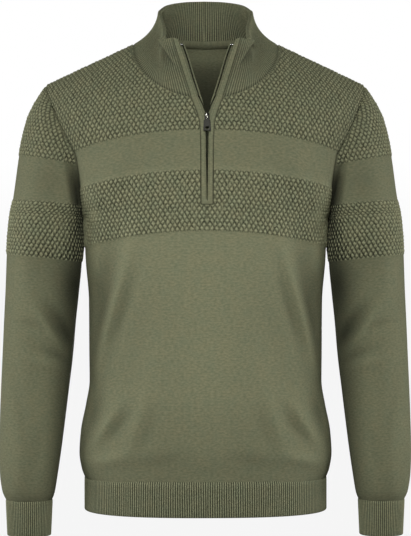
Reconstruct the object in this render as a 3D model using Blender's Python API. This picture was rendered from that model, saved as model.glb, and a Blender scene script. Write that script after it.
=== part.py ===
"""Quarter zip sweater in knitted cotton, filled out as worn: a hollow form open at neck, hem and cuffs.

Metres, +Z up, +X to the wearer's left, front towards -Y. The origin lies midway between the two high
shoulder points, where the wearer's shoulders carry the garment. Every cloth piece is a thin closed
wall: a grid of outer points and the same grid moved inwards. Neighbours keep SEAM_GAP between them.
"""

import math

import bmesh
import bpy
import numpy as np

# ---------------------------------------------------------------- driving sizes
SEAM_GAP = 0.0003
NECK_SEAM_GAP = 0.0005     # the collar's thicker wall turns more sharply along its seam
PANEL_WALL = 0.0025
RIB_WALL = 0.0030
COLLAR_WALL = 0.0045
RELIEF = 0.0008            # the honeycomb bands stand this much above the plain knit
RIB_DEPTH = 0.0008

NECK_HALF = 0.104          # high shoulder point from the centre
NECK_DROP_FRONT = 0.0865
NECK_RISE_BACK = 0.0105
SHOULDER_HALF = 0.229      # shoulder tip from the centre
SHOULDER_DROP = 0.059
UNDERARM_Z = -0.250
SLIT_END_Z = -0.234        # lower end of the zip opening
HEM_TOP_Z = -0.620
HEM_BOTTOM_Z = -0.666
CUFF_TOP_Z = -0.654
CUFF_BOTTOM_Z = -0.705
PLACKET_WIDTH = 0.0072
PLACKET_WALL = 0.0030
TAPE_WALL = 0.0012
SLIDER_Z = -0.1125

HEM_RIBS = 290
CUFF_RIBS = 70
COLLAR_RIBS_HALF = 80
FINE_PER_RIB = 2           # outer points for each rib

# Torso rings: height, half width at the side seam, depth of the front and of the back at the centre.
TORSO = np.array([
    # z,     half_width, front, back
    (0.060, 0.2290, 0.100, 0.100),
    (-0.059, 0.2290, 0.121, 0.106),
    (-0.110, 0.2090, 0.125, 0.109),
    (-0.160, 0.1880, 0.126, 0.110),
    (-0.207, 0.1770, 0.125, 0.109),
    (-0.250, 0.1745, 0.123, 0.108),
    (-0.310, 0.1720, 0.121, 0.106),
    (-0.367, 0.1675, 0.118, 0.104),
    (-0.439, 0.1670, 0.114, 0.102),
    (-0.482, 0.1665, 0.114, 0.103),
    (-0.515, 0.1715, 0.116, 0.105),
    (-0.554, 0.1790, 0.118, 0.108),
    (-0.585, 0.1810, 0.119, 0.110),
    (-0.606, 0.1780, 0.117, 0.108),
    (-0.620, 0.1735, 0.115, 0.105),
])

# Armhole: height, distance from the centre, depth of the front and of the back edge.
ARMHOLE = np.array([
    # z,     x,      front, back
    (-0.059, 0.2290, 0.044, 0.046),
    (-0.080, 0.2225, 0.050, 0.052),
    (-0.102, 0.2130, 0.056, 0.058),
    (-0.137, 0.1960, 0.062, 0.066),
    (-0.166, 0.1825, 0.064, 0.068),
    (-0.207, 0.1770, 0.056, 0.060),
    (-0.232, 0.1752, 0.038, 0.040),
    (-0.243, 0.1747, 0.022, 0.022),
    (-0.250, 0.1745, 0.000, 0.000),
])

# Knit courses sag towards the side seams: course height at the centre, drop at the side.
COURSE_DROP = np.array([
    # z,      drop
    (-0.1328, 0.0272),
    (-0.1843, 0.0227),
    (-0.2712, 0.0213),
    (-0.4500, 0.0080),
    (-0.6200, 0.0000),
])
YOKE_END, BAND_START, BAND_END = -0.1328, -0.1843, -0.2712

# Half width of the opening between the two front edges, up the slit to the neck seam.
SLIT = np.array([
    # z,      half_width
    (-0.2340, 0.0090),
    (-0.1500, 0.0095),
    (-0.1220, 0.0108),
    (-0.1070, 0.0147),
    (-0.0850, 0.0228),
])

# Sleeve courses: outer line, inner line, half depth. Above the underarm the inner line is the armhole.
SLEEVE_TOP = np.array([
    # outer_x, outer_z, inner_x, inner_z
    (0.2290, -0.0590, 0.2290, -0.0785),
    (0.2470, -0.0880, 0.2230, -0.1010),
])
SLEEVE = np.array([
    # outer_x, outer_z, inner_x, inner_z, half_depth
    (0.2560, -0.108, 0.2130, -0.118, 0.0620),
    (0.2635, -0.137, 0.1960, -0.150, 0.0650),
    (0.2680, -0.161, 0.1810, -0.177, 0.0665),
    (0.2765, -0.222, 0.1755, -0.230, 0.0645),
    (0.2806, -0.243, 0.1745, -0.250, 0.0635),
    (0.2816, -0.250, 0.1770, -0.257, 0.0632),
    (0.2837, -0.270, 0.1773, -0.278, 0.0625),
    (0.2855, -0.302, 0.1782, -0.313, 0.0610),
    (0.2872, -0.350, 0.1820, -0.355, 0.0590),
    (0.2894, -0.396, 0.1865, -0.398, 0.0570),
    (0.2915, -0.444, 0.1905, -0.445, 0.0550),
    (0.2938, -0.495, 0.1965, -0.495, 0.0530),
    (0.2955, -0.540, 0.2020, -0.540, 0.0510),
    (0.2966, -0.585, 0.2078, -0.585, 0.0485),
    (0.2955, -0.615, 0.2122, -0.615, 0.0455),
    (0.2925, -0.638, 0.2158, -0.638, 0.0400),
    (0.2880, -0.654, 0.2190, -0.654, 0.0325),
])

# Collar, from the centre of the back (turn 0) to the front edge (turn 1): top edge and the middle
# control point of its profile. The high shoulder point lies at COLLAR_SHOULDER_TURN.
COLLAR_SHOULDER_TURN = 0.45
COLLAR = np.array([
    # turn, top_x,  top_y,   top_z,   mid_x,  mid_y,   mid_z
    (0.00, 0.0000, 0.0755, 0.0735, 0.0000, 0.0710, 0.0380),
    (0.10, 0.0240, 0.0735, 0.0725, 0.0260, 0.0690, 0.0375),
    (0.21, 0.0460, 0.0630, 0.0690, 0.0500, 0.0600, 0.0350),
    (0.29, 0.0580, 0.0470, 0.0640, 0.0610, 0.0460, 0.0310),
    (0.39, 0.0665, 0.0260, 0.0585, 0.0690, 0.0260, 0.0240),
    (0.50, 0.0675, 0.0030, 0.0495, 0.0710, -0.0020, 0.0140),
    (0.62, 0.0640, -0.0210, 0.0345, 0.0715, -0.0300, -0.0070),
    (0.73, 0.0605, -0.0420, 0.0200, 0.0690, -0.0560, -0.0260),
    (0.80, 0.0610, -0.0560, 0.0095, 0.0670, -0.0740, -0.0350),
    (0.88, 0.0665, -0.0700, 0.0000, 0.0610, -0.0920, -0.0390),
    (0.93, 0.0620, -0.0800, -0.0010, 0.0520, -0.1000, -0.0410),
    (0.97, 0.0550, -0.0880, -0.0010, 0.0430, -0.1045, -0.0420),
    (1.00, 0.0480, -0.0945, -0.0005, 0.0362, -0.1065, -0.0420),
])

# Distance of the coil's edge from the middle: closed below the slider, spread above it.
ZIP_EDGE = np.array([
    # z,      half_width
    (-0.2340, 0.0004),
    (-0.1120, 0.0004),
    (-0.1050, 0.0031),
    (-0.0912, 0.0071),
    (-0.0630, 0.0165),
    (-0.0344, 0.0257),
    (-0.0010, 0.0385),
])

# The largest folds, on each side alike: middle, lean of the fold's line from upright (degrees,
# positive towards the centre at its top), half length, half width, depth (negative for a ridge).
FOLDS = {
    "front": np.array([
        # x,    z,      lean, half_length, half_width, depth
        (0.146, -0.350, 18.0, 0.075, 0.017, 0.0050),
        (0.146, -0.521, 50.0, 0.042, 0.012, 0.0060),
        (0.148, -0.549, 54.0, 0.045, 0.013, -0.0035),
        (0.095, -0.585, 74.0, 0.040, 0.012, 0.0030),
        (0.118, -0.215, 30.0, 0.050, 0.016, 0.0025),
    ]),
    "back": np.array([
        (0.130, -0.300, 24.0, 0.080, 0.018, 0.0050),
        (0.128, -0.530, 56.0, 0.050, 0.014, 0.0060),
        (0.060, -0.560, 78.0, 0.050, 0.015, 0.0045),
        (0.075, -0.450, 66.0, 0.055, 0.016, 0.0035),
    ]),
    "sleeve_front": np.array([
        (0.222, -0.395, -50.0, 0.036, 0.011, 0.0055),
        (0.210, -0.330, -35.0, 0.034, 0.013, 0.0035),
        (0.247, -0.432, -76.0, 0.026, 0.010, 0.0035),
    ]),
    "sleeve_back": np.array([
        (0.240, -0.372, 62.0, 0.038, 0.013, 0.0055),
        (0.235, -0.420, -60.0, 0.036, 0.013, 0.0050),
        (0.262, -0.560, 70.0, 0.030, 0.012, 0.0035),
    ]),
}

COLOURS = {
    # finish: red, green, blue, roughness, metallic
    "knit": (0.157, 0.163, 0.098, 0.90, 0.0),
    "rib": (0.105, 0.113, 0.067, 0.90, 0.0),
    "tape": (0.085, 0.090, 0.058, 0.85, 0.0),
    "metal": (0.080, 0.080, 0.085, 0.35, 1.0),
}


# ---------------------------------------------------------------- curves
def smooth(table, column, at):
    """Value of a table's column at places along its first column, eased between the rows."""
    order = np.argsort(table[:, 0])
    x, y = table[order, 0], table[order, column]
    step = np.diff(x)
    slope = np.diff(y) / step
    product = slope[1:] * slope[:-1]
    total = slope[1:] + slope[:-1]
    inner = np.where(product > 0, 2 * product / np.where(total == 0, 1, total), 0.0)
    tangent = np.concatenate(([slope[0]], inner, [slope[-1]]))
    at = np.clip(np.asarray(at, float), x[0], x[-1])
    k = np.clip(np.searchsorted(x, at) - 1, 0, len(x) - 2)
    t = (at - x[k]) / step[k]
    return ((2 * t**3 - 3 * t**2 + 1) * y[k] + (t**3 - 2 * t**2 + t) * step[k] * tangent[k]
            + (3 * t**2 - 2 * t**3) * y[k + 1] + (t**3 - t**2) * step[k] * tangent[k + 1])


def unit(vectors):
    """Vectors scaled to length one; a zero vector stays zero."""
    length = np.linalg.norm(vectors, axis=-1, keepdims=True)
    return vectors / np.where(length == 0, 1, length)


# ---------------------------------------------------------------- the body's form
SECTION_POWER = 2.5        # how square the torso's rings are
SIDE_POWER = 0.40          # how bluntly a ring turns at its side, below the underarm
CHEST_SIDE_GAIN = 0.20     # more of it at the chest, reached CHEST_SIDE_RISE above the underarm
CHEST_SIDE_RISE = 0.11
CREST_MARGIN = 0.010       # least height of the roll to the shoulder
FRONT, BACK = -1, 1
ROLL_START = {FRONT: -0.140, BACK: -0.100}     # where the chest starts to turn in to the shoulder
ROLL_POWER = {FRONT: 1.7, BACK: 2.0}


def shoulder_line(x):
    """Height of the shoulder seam's line over a distance from the centre."""
    return -SHOULDER_DROP * (x - NECK_HALF) / (SHOULDER_HALF - NECK_HALF)


def edge_x(z):
    """Distance of the side seam or the armhole from the centre."""
    low = smooth(TORSO, 1, np.minimum(z, UNDERARM_Z))
    return np.where(z > UNDERARM_Z, smooth(ARMHOLE, 1, z), low)


def fold_depth(x, z, name):
    """How far the folds of a piece press it in at a place in the front view."""
    total = np.zeros_like(np.asarray(x, float))
    for middle_x, middle_z, lean, half_length, half_width, fold in FOLDS[name]:
        turn = math.radians(lean)
        u, v = x - middle_x, z - middle_z
        along = -u * math.sin(turn) + v * math.cos(turn)
        across = u * math.cos(turn) + v * math.sin(turn)
        total = total + fold * np.exp(-(along / half_length)**2 - (across / half_width)**2)
    return total


def depth(x, z, side):
    """Depth of the body's outer face, signed: the front is negative."""
    column = 2 if side == FRONT else 3
    centre = smooth(TORSO, column, z)
    edge = np.where(z > UNDERARM_Z, smooth(ARMHOLE, column, z), 0.0)
    power = SIDE_POWER + CHEST_SIDE_GAIN * np.clip((z - UNDERARM_Z) / CHEST_SIDE_RISE, 0, 1)
    across = np.clip(x / edge_x(z), 0, 1)
    base = edge + (centre - edge) * (1 - across**SECTION_POWER)**power
    base = base * (1 - fold_depth(x, z, "front" if side == FRONT else "back") / centre)
    start = ROLL_START[side]
    crest = np.maximum(shoulder_line(x), start + CREST_MARGIN)
    rise = np.clip((z - start) / (crest - start), 0, 1)
    roll = (1 - rise**ROLL_POWER[side])**(1 / ROLL_POWER[side])
    return side * base * roll


def armhole_z(along):
    """Height on the armhole, from the shoulder tip (0) to the underarm (1)."""
    return -SHOULDER_DROP + (UNDERARM_Z + SHOULDER_DROP) * (1 - np.cos(math.pi * along)) / 2


def armhole_along(z):
    """Place on the armhole of a height."""
    part = (z + SHOULDER_DROP) / (UNDERARM_Z + SHOULDER_DROP)
    return np.arccos(np.clip(1 - 2 * part, -1, 1)) / math.pi


def course_z(centre, across):
    """Height of a knit course that has a given height at the centre."""
    return centre - smooth(COURSE_DROP, 1, centre) * across**2


def underarm_course():
    """Centre height of the course that meets the underarm."""
    centre = UNDERARM_Z
    for _ in range(6):
        centre = UNDERARM_Z + float(smooth(COURSE_DROP, 1, centre))
    return centre


NECK_COLUMNS = 5
COLUMNS = 9
YOKE_PARTS = (0.0, 0.065, 0.2, 0.4, 0.6, 0.8, 1.0)     # rows between the top edge and the yoke's end
PLAIN_COURSES = (-0.158,)
BODY_COURSES = (-0.300, -0.335, -0.375, -0.415, -0.455, -0.490, -0.520, -0.545, -0.567, -0.587,
                -0.603, -0.613)
BAND_COURSES = (-0.206, underarm_course(), SLIT_END_Z, -0.2530)
STEP = 0.0010              # height over which a band rises from the plain knit
UNDERARM_ROW = len(YOKE_PARTS) + 1 + len(PLAIN_COURSES) + 2 + 1
SLIT_ROW = UNDERARM_ROW + 1


def top_boundary(side):
    """Neckline and shoulder seam of half a panel: x and z for each column."""
    shoulder = np.linspace(NECK_HALF, SHOULDER_HALF, COLUMNS - NECK_COLUMNS + 1)[1:]
    if side == FRONT:
        first = math.asin(SLIT[-1, 1] / NECK_HALF)
        turn = np.linspace(first, math.pi / 2, NECK_COLUMNS + 1)
        neck_z = -NECK_DROP_FRONT * np.cos(turn)
    else:
        turn = np.linspace(0, math.pi / 2, NECK_COLUMNS + 1)
        neck_z = NECK_RISE_BACK * (1 - np.sin(turn)**3)
    x = np.concatenate([NECK_HALF * np.sin(turn), shoulder])
    z = np.concatenate([neck_z, shoulder_line(shoulder)])
    return x, z


def inner_x(z, side):
    """Distance of a half panel's first column from the centre."""
    return smooth(SLIT, 1, z) if side == FRONT else np.zeros_like(z)


def half_panel(side):
    """Half of the front or back: outer points by row and column, and each row's raised height."""
    s = np.linspace(0, 1, COLUMNS + 1)
    spread = np.sin(s * math.pi / 2)
    top_x, top_z = top_boundary(side)
    low_z = course_z(YOKE_END, spread)
    rows, lifts = [], []
    for v in YOKE_PARTS:
        z = top_z * (1 - v) + low_z * v
        tip_z = armhole_z(armhole_along(low_z[-1]) * v)
        z = z + s**4 * (tip_z - z[-1])
        first = inner_x(z, side)
        edge = edge_x(z[-1])
        wide = first + (edge_x(np.minimum(z, -SHOULDER_DROP)) - first) * spread
        x = top_x * (1 - v) + wide * v
        x = x + s**4 * (edge - x[-1])
        if side == FRONT:
            x[0] = smooth(SLIT, 1, z[0])
        rows.append(np.stack([x, depth(x, z, side), z], -1))
        lifts.append(RELIEF)
    plan = [(YOKE_END - STEP, 0.0)]
    plan += [(z, 0.0) for z in PLAIN_COURSES]
    plan += [(BAND_START + STEP, 0.0), (BAND_START, RELIEF)]
    plan += [(z, RELIEF) for z in BAND_COURSES]
    plan += [(BAND_END, RELIEF), (BAND_END - STEP, 0.0)]
    plan += [(z, 0.0) for z in BODY_COURSES]
    plan += [(HEM_TOP_Z + SEAM_GAP / 2, 0.0)]
    for centre, lift in plan:
        z = course_z(centre, spread)
        first = inner_x(z, side)
        x = first + (edge_x(z) - first) * spread
        rows.append(np.stack([x, depth(x, z, side), z], -1))
        lifts.append(lift)
    return np.array(rows), np.array(lifts)


# ---------------------------------------------------------------- meshes
def material(finish):
    """The finish's own Principled material."""
    found = bpy.data.materials.get(finish)
    if found:
        return found
    red, green, blue, roughness, metallic = COLOURS[finish]
    made = bpy.data.materials.new(finish)
    made.use_nodes = True
    shader = made.node_tree.nodes["Principled BSDF"]
    shader.inputs["Base Color"].default_value = (red, green, blue, 1)
    shader.inputs["Roughness"].default_value = roughness
    shader.inputs["Metallic"].default_value = metallic
    return made


def add_object(name, points, faces, finish, origin=(0.0, 0.0, 0.0)):
    """One named solid from points and faces, with its object's origin at a given place."""
    mesh = bpy.data.meshes.new(name)
    shifted = np.asarray(points, float) - np.asarray(origin)
    mesh.from_pydata([tuple(p) for p in shifted], [], [tuple(int(i) for i in f) for f in faces])
    shape = bmesh.new()
    shape.from_mesh(mesh)
    bmesh.ops.recalc_face_normals(shape, faces=shape.faces)
    shape.to_mesh(mesh)
    shape.free()
    mesh.shade_smooth()
    mesh.set_sharp_from_angle(angle=math.radians(50))
    mesh.materials.append(material(finish))
    made = bpy.data.objects.new(name, mesh)
    made.location = origin
    bpy.context.scene.collection.objects.link(made)
    return made


def grid_faces(rows, columns, first=0):
    """Quads of a grid whose points are numbered row by row."""
    return [(first + r * columns + c, first + r * columns + c + 1,
             first + (r + 1) * columns + c + 1, first + (r + 1) * columns + c)
            for r in range(rows - 1) for c in range(columns - 1)]


def point_normals(points, faces, outward):
    """Normals at the points of an open surface, turned to the side that `outward` gives."""
    normals = np.zeros_like(points)
    for face in faces:
        corner = points[list(face)]
        cross = np.cross(corner[2] - corner[0], corner[-1] - corner[1])
        for i in face:
            normals[i] += cross
    normals = unit(normals)
    turn = np.sign((normals * outward).sum(-1, keepdims=True).sum())
    return normals * turn


def wall(points, faces, inward, thickness, lift=None):
    """A closed wall: the outer points, the same moved inwards, and sides round every open edge.

    Each quad is halved along the same diagonal, so walls made from the same points stay parallel.
    """
    count = len(points)
    outer = points if lift is None else points - inward * lift[:, None]
    inner = points + inward * np.broadcast_to(thickness, (count,))[:, None]
    edges = {}
    for face in faces:
        for a, b in zip(face, face[1:] + face[:1]):
            edges[(a, b)] = edges.get((a, b), 0) + 1
    rim = [(a, b) for a, b in edges if (b, a) not in edges]
    halves = [(a, b, c) for a, b, c, d in faces] + [(a, c, d) for a, b, c, d in faces]
    solid = halves + [tuple(i + count for i in reversed(f)) for f in halves]
    solid += [(b, a, a + count, b + count) for a, b in rim]
    return np.concatenate([outer, inner]), solid


def wall_object(name, points, faces, inward, thickness, finish, lift=None):
    """A named closed wall."""
    solid_points, solid_faces = wall(points, faces, inward, thickness, lift)
    return add_object(name, solid_points, solid_faces, finish)


def ribbed_wall(outer, inner, closed):
    """A closed wall with fine ribs outside and a plainer inside, both given as rows of points.

    Each inner column stands for the same whole number of outer columns, and flat many-sided faces
    join the two along the top and the bottom.
    """
    rows, fine = outer.shape[:2]
    coarse = inner.shape[1]
    ratio = fine // coarse if closed else (fine - 1) // (coarse - 1)
    points = np.concatenate([outer.reshape(-1, 3), inner.reshape(-1, 3)])
    base = rows * fine

    def out(row, column):
        return row * fine + column % fine

    def into(row, column):
        return base + row * coarse + column % coarse

    fine_cells = fine if closed else fine - 1
    coarse_cells = coarse if closed else coarse - 1
    faces = [(out(r, c), out(r, c + 1), out(r + 1, c + 1), out(r + 1, c))
             for r in range(rows - 1) for c in range(fine_cells)]
    faces += [(into(r, c + 1), into(r, c), into(r + 1, c), into(r + 1, c + 1))
              for r in range(rows - 1) for c in range(coarse_cells)]
    for c in range(coarse_cells):
        run = [c * ratio + i for i in range(ratio + 1)]
        faces.append((into(0, c), into(0, c + 1)) + tuple(out(0, i) for i in reversed(run)))
        faces.append((into(rows - 1, c + 1), into(rows - 1, c)) + tuple(out(rows - 1, i) for i in run))
    if not closed:
        for r in range(rows - 1):
            faces.append((out(r, 0), out(r + 1, 0), into(r + 1, 0), into(r, 0)))
            faces.append((out(r + 1, fine - 1), out(r, fine - 1),
                          into(r, coarse - 1), into(r + 1, coarse - 1)))
    return points, faces


def mirrored(points):
    """Points on the other side of the body's middle plane."""
    return points * np.array([-1, 1, 1])


# ---------------------------------------------------------------- front and back
class Panel:
    """Half of the front or back as a grid, with its inward directions and raised heights."""

    def __init__(self, side):
        self.side = side
        self.points, self.lift = half_panel(side)
        rows, columns = self.points.shape[:2]
        seam = np.zeros((rows, columns), bool)
        seam[0, NECK_COLUMNS:] = True
        seam[UNDERARM_ROW:, -1] = True
        self.points[..., 1][seam] = side * SEAM_GAP / 2
        faces = grid_faces(rows, columns)
        outward = np.broadcast_to([0.0, side, 0.0], (rows * columns, 3))
        normals = point_normals(self.points.reshape(-1, 3), faces, outward)
        normals = normals.reshape(rows, columns, 3)
        normals[..., 1][seam] = 0
        if side == BACK:
            normals[:, 0, 0] = 0
        normals[-1, :, 2] = 0
        self.inward = -unit(normals)

    def armhole(self):
        """Edge points of the armhole from the shoulder tip to the underarm."""
        return self.points[:UNDERARM_ROW + 1, -1]

    def build(self, name):
        """The whole panel: this half and its mirror image."""
        rows, columns = self.points.shape[:2]
        if self.side == FRONT:
            points = np.concatenate([mirrored(self.points[:, ::-1]), self.points], 1)
            inward = np.concatenate([mirrored(self.inward[:, ::-1]), self.inward], 1)
        else:
            points = np.concatenate([mirrored(self.points[:, :0:-1]), self.points], 1)
            inward = np.concatenate([mirrored(self.inward[:, :0:-1]), self.inward], 1)
        width = points.shape[1]
        faces = grid_faces(rows, width)
        if self.side == FRONT:
            slit = [r * (width - 1) + columns - 1 for r in range(SLIT_ROW)]
            faces = [f for i, f in enumerate(faces) if i not in set(slit)]
        lift = np.repeat(self.lift, width)
        wall_object(name, points.reshape(-1, 3), faces, inward.reshape(-1, 3), PANEL_WALL, "knit", lift)


# ---------------------------------------------------------------- sleeves
SLEEVE_COLUMNS = 8         # on each side of the outer line
CAP_BLEND = 4              # rows over which the cap takes up its top row's form
SECTION_MARGIN = 1.02      # a course's half depth over the depth of its ends
# The sleeve's top row runs over the shoulder tip: places in rows of the panels' armhole edge.
CAP_SPREAD = (0, 0.5, 1, 1.5, 2, 2.25, 2.5, 2.75, 3)
# Rows of the sleeve along the armhole: place in rows of the panels' edge, raised or plain.
CAP = ((3, True), (4, True), (5, True), (6, True), (7.70, True), (7.75, False), (8, False),
       (10, False), (11, False), (11.05, True), (12, True))
# Closed rows below the underarm: height of the inner line, raised or plain.
TUBE = ((-0.257, True), (-0.278, True), (-0.3125, True), (-0.3137, False), (-0.355, False), (-0.398, False),
        (-0.445, False), (-0.495, False), (-0.540, False), (-0.585, False), (-0.615, False),
        (-0.638, False), (CUFF_TOP_Z + SEAM_GAP / 2, False))


def along_rows(values, place):
    """Values at a fractional place along their first axis."""
    low = int(min(math.floor(place), len(values) - 2))
    return values[low] * (1 - (place - low)) + values[low + 1] * (place - low)


OUTER_X, OUTER_Z, INNER_X, HALF_DEPTH = 0, 1, 2, 4     # columns of SLEEVE


def by_inner(column, inner_z):
    """A sleeve size as a function of the inner line's height."""
    if column == HALF_DEPTH:
        return float(smooth(SLEEVE[:, [3, HALF_DEPTH]], 1, inner_z))
    table = np.concatenate([SLEEVE_TOP, SLEEVE[:, :4]])
    return float(smooth(table[:, [3, column]], 1, inner_z))


def arc(s, outer, end, half_depth, side):
    """One side of a sleeve course: from the outer line (s = 0) to its end (s = 1)."""
    reach = abs(end[1])
    radius = max(half_depth, reach * SECTION_MARGIN)
    turn = math.pi - math.asin(reach / radius)
    part = (1 - np.cos(turn * s)) / (1 - math.cos(turn))
    x = outer[0] + (end[0] - outer[0]) * part
    z = outer[2] + (end[2] - outer[2]) * part
    name = "sleeve_front" if side == FRONT else "sleeve_back"
    y = side * (radius - fold_depth(x, z, name)) * np.sin(turn * s)
    return np.stack([x, y, z], -1)


def sleeve_row(front_end, back_end, inner_z):
    """All points of a course, from the back end over the outer line to the front end."""
    s = np.linspace(0, 1, SLEEVE_COLUMNS + 1)
    outer = np.array([by_inner(OUTER_X, inner_z), 0.0, by_inner(OUTER_Z, inner_z)])
    half = by_inner(HALF_DEPTH, inner_z)
    back = arc(s, outer, back_end, half, BACK)
    front = arc(s, outer, front_end, half, FRONT)
    return np.concatenate([back[:0:-1], front])


class Sleeve:
    """The sleeve on the wearer's left: a sheet wrapped round, open along the armhole at its top."""

    def __init__(self, front, back):
        edge_f, edge_b = front.armhole(), back.armhole()
        rows = []
        for place, _ in CAP:
            f, b = along_rows(edge_f, place), along_rows(edge_b, place)
            rows.append(sleeve_row(f, b, f[2]))
        top = np.array([along_rows(edge_b, p) for p in CAP_SPREAD[:0:-1]]
                       + [along_rows(edge_f, p) for p in CAP_SPREAD])
        fix = top - rows[0]
        last = CAP[CAP_BLEND - 1][0]
        for i in range(CAP_BLEND):
            rows[i] = rows[i] + fix * ((last - CAP[i][0]) / (last - CAP[0][0]))**2
        for inner_z, _ in TUBE:
            end = np.array([by_inner(INNER_X, inner_z), 0.0, inner_z])
            rows.append(sleeve_row(end, end, inner_z))
        self.points = np.array(rows)
        self.lift = np.array([RELIEF * raised for _, raised in CAP + TUBE])
        self.closed_from = len(CAP) - 1
        self._edges(front, back)

    def numbers(self):
        """Point numbers, with the last column of each closed row on its first."""
        count = np.arange(self.points.shape[0] * self.points.shape[1])
        count = count.reshape(self.points.shape[:2])
        count[self.closed_from:, -1] = count[self.closed_from:, 0]
        return count

    def faces(self):
        """Quads of the sheet, closed below the underarm."""
        n = self.numbers()
        return [(n[r, c], n[r, c + 1], n[r + 1, c + 1], n[r + 1, c])
                for r in range(n.shape[0] - 1) for c in range(n.shape[1] - 1)]

    def _edges(self, front, back):
        """Directions shared with the panels along the armhole, and the gap to them."""
        rows, columns = self.points.shape[:2]
        n = self.numbers()
        flat = self.points.reshape(-1, 3)
        outward = flat - np.array([SHOULDER_HALF, 0, 0])
        outward[:, 2] = 0
        normals = point_normals(flat, self.faces(), outward)
        front_in, back_in = front.inward[:UNDERARM_ROW + 1, -1], back.inward[:UNDERARM_ROW + 1, -1]
        loop = [(n[r, -1], CAP[r][0], FRONT) for r in range(len(CAP) - 1, 0, -1)]
        middle = SLEEVE_COLUMNS
        loop += [(n[0, middle + i], CAP_SPREAD[i], FRONT) for i in range(middle, -1, -1)]
        loop += [(n[0, middle - i], CAP_SPREAD[i], BACK) for i in range(1, middle + 1)]
        loop += [(n[r, 0], CAP[r][0], BACK) for r in range(1, len(CAP) - 1)]
        shared = []
        for index, place, side in loop:
            panel = -along_rows(front_in if side == FRONT else back_in, place)
            both = unit(panel) + normals[index]
            if place in (0, UNDERARM_ROW):
                both[1] = 0
            shared.append(unit(both))
        shared = np.array(shared)
        spots = flat[[i for i, _, _ in loop]]
        tangent = np.roll(spots, -1, 0) - np.roll(spots, 1, 0)
        away = unit(np.cross(tangent, shared))
        if away[:, 0].sum() < 0:
            away = -away
        for (index, _, _), step, direction in zip(loop, away, shared):
            flat[index] += step * SEAM_GAP
            normals[index] = direction
        normals = normals.reshape(rows, columns, 3)
        normals[-1, :, 2] = 0
        self.inward = -unit(normals)
        self.points = flat.reshape(rows, columns, 3)
        for panel, side in ((front, FRONT), (back, BACK)):
            known = sorted((p, tuple(d)) for (_, p, which), d in zip(loop, shared)
                           if which == side or p in (0, UNDERARM_ROW))
            places = [p for p, _ in known]
            for axis in range(3):
                values = [d[axis] for _, d in known]
                panel.inward[:UNDERARM_ROW + 1, -1, axis] = -np.interp(
                    np.arange(UNDERARM_ROW + 1), places, values)
            panel.inward[:UNDERARM_ROW + 1, -1] = unit(panel.inward[:UNDERARM_ROW + 1, -1])

    def build(self):
        """Both sleeves."""
        rows, columns = self.points.shape[:2]
        n = self.numbers()
        used = sorted(set(n.ravel()))
        place = {old: new for new, old in enumerate(used)}
        faces = [tuple(place[i] for i in f) for f in self.faces()]
        points = self.points.reshape(-1, 3)[used]
        inward = self.inward.reshape(-1, 3)[used]
        lift = np.repeat(self.lift, columns)[used]
        wall_object("sleeve_left", points, faces, inward, PANEL_WALL, "knit", lift)
        wall_object("sleeve_right", mirrored(points), faces, mirrored(inward), PANEL_WALL, "knit", lift)


# ---------------------------------------------------------------- collar
COLLAR_LEVELS = (0.0, 0.30, 0.62, 1.0)
COLLAR_COARSE = 4          # outer columns for each inner column


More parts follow.
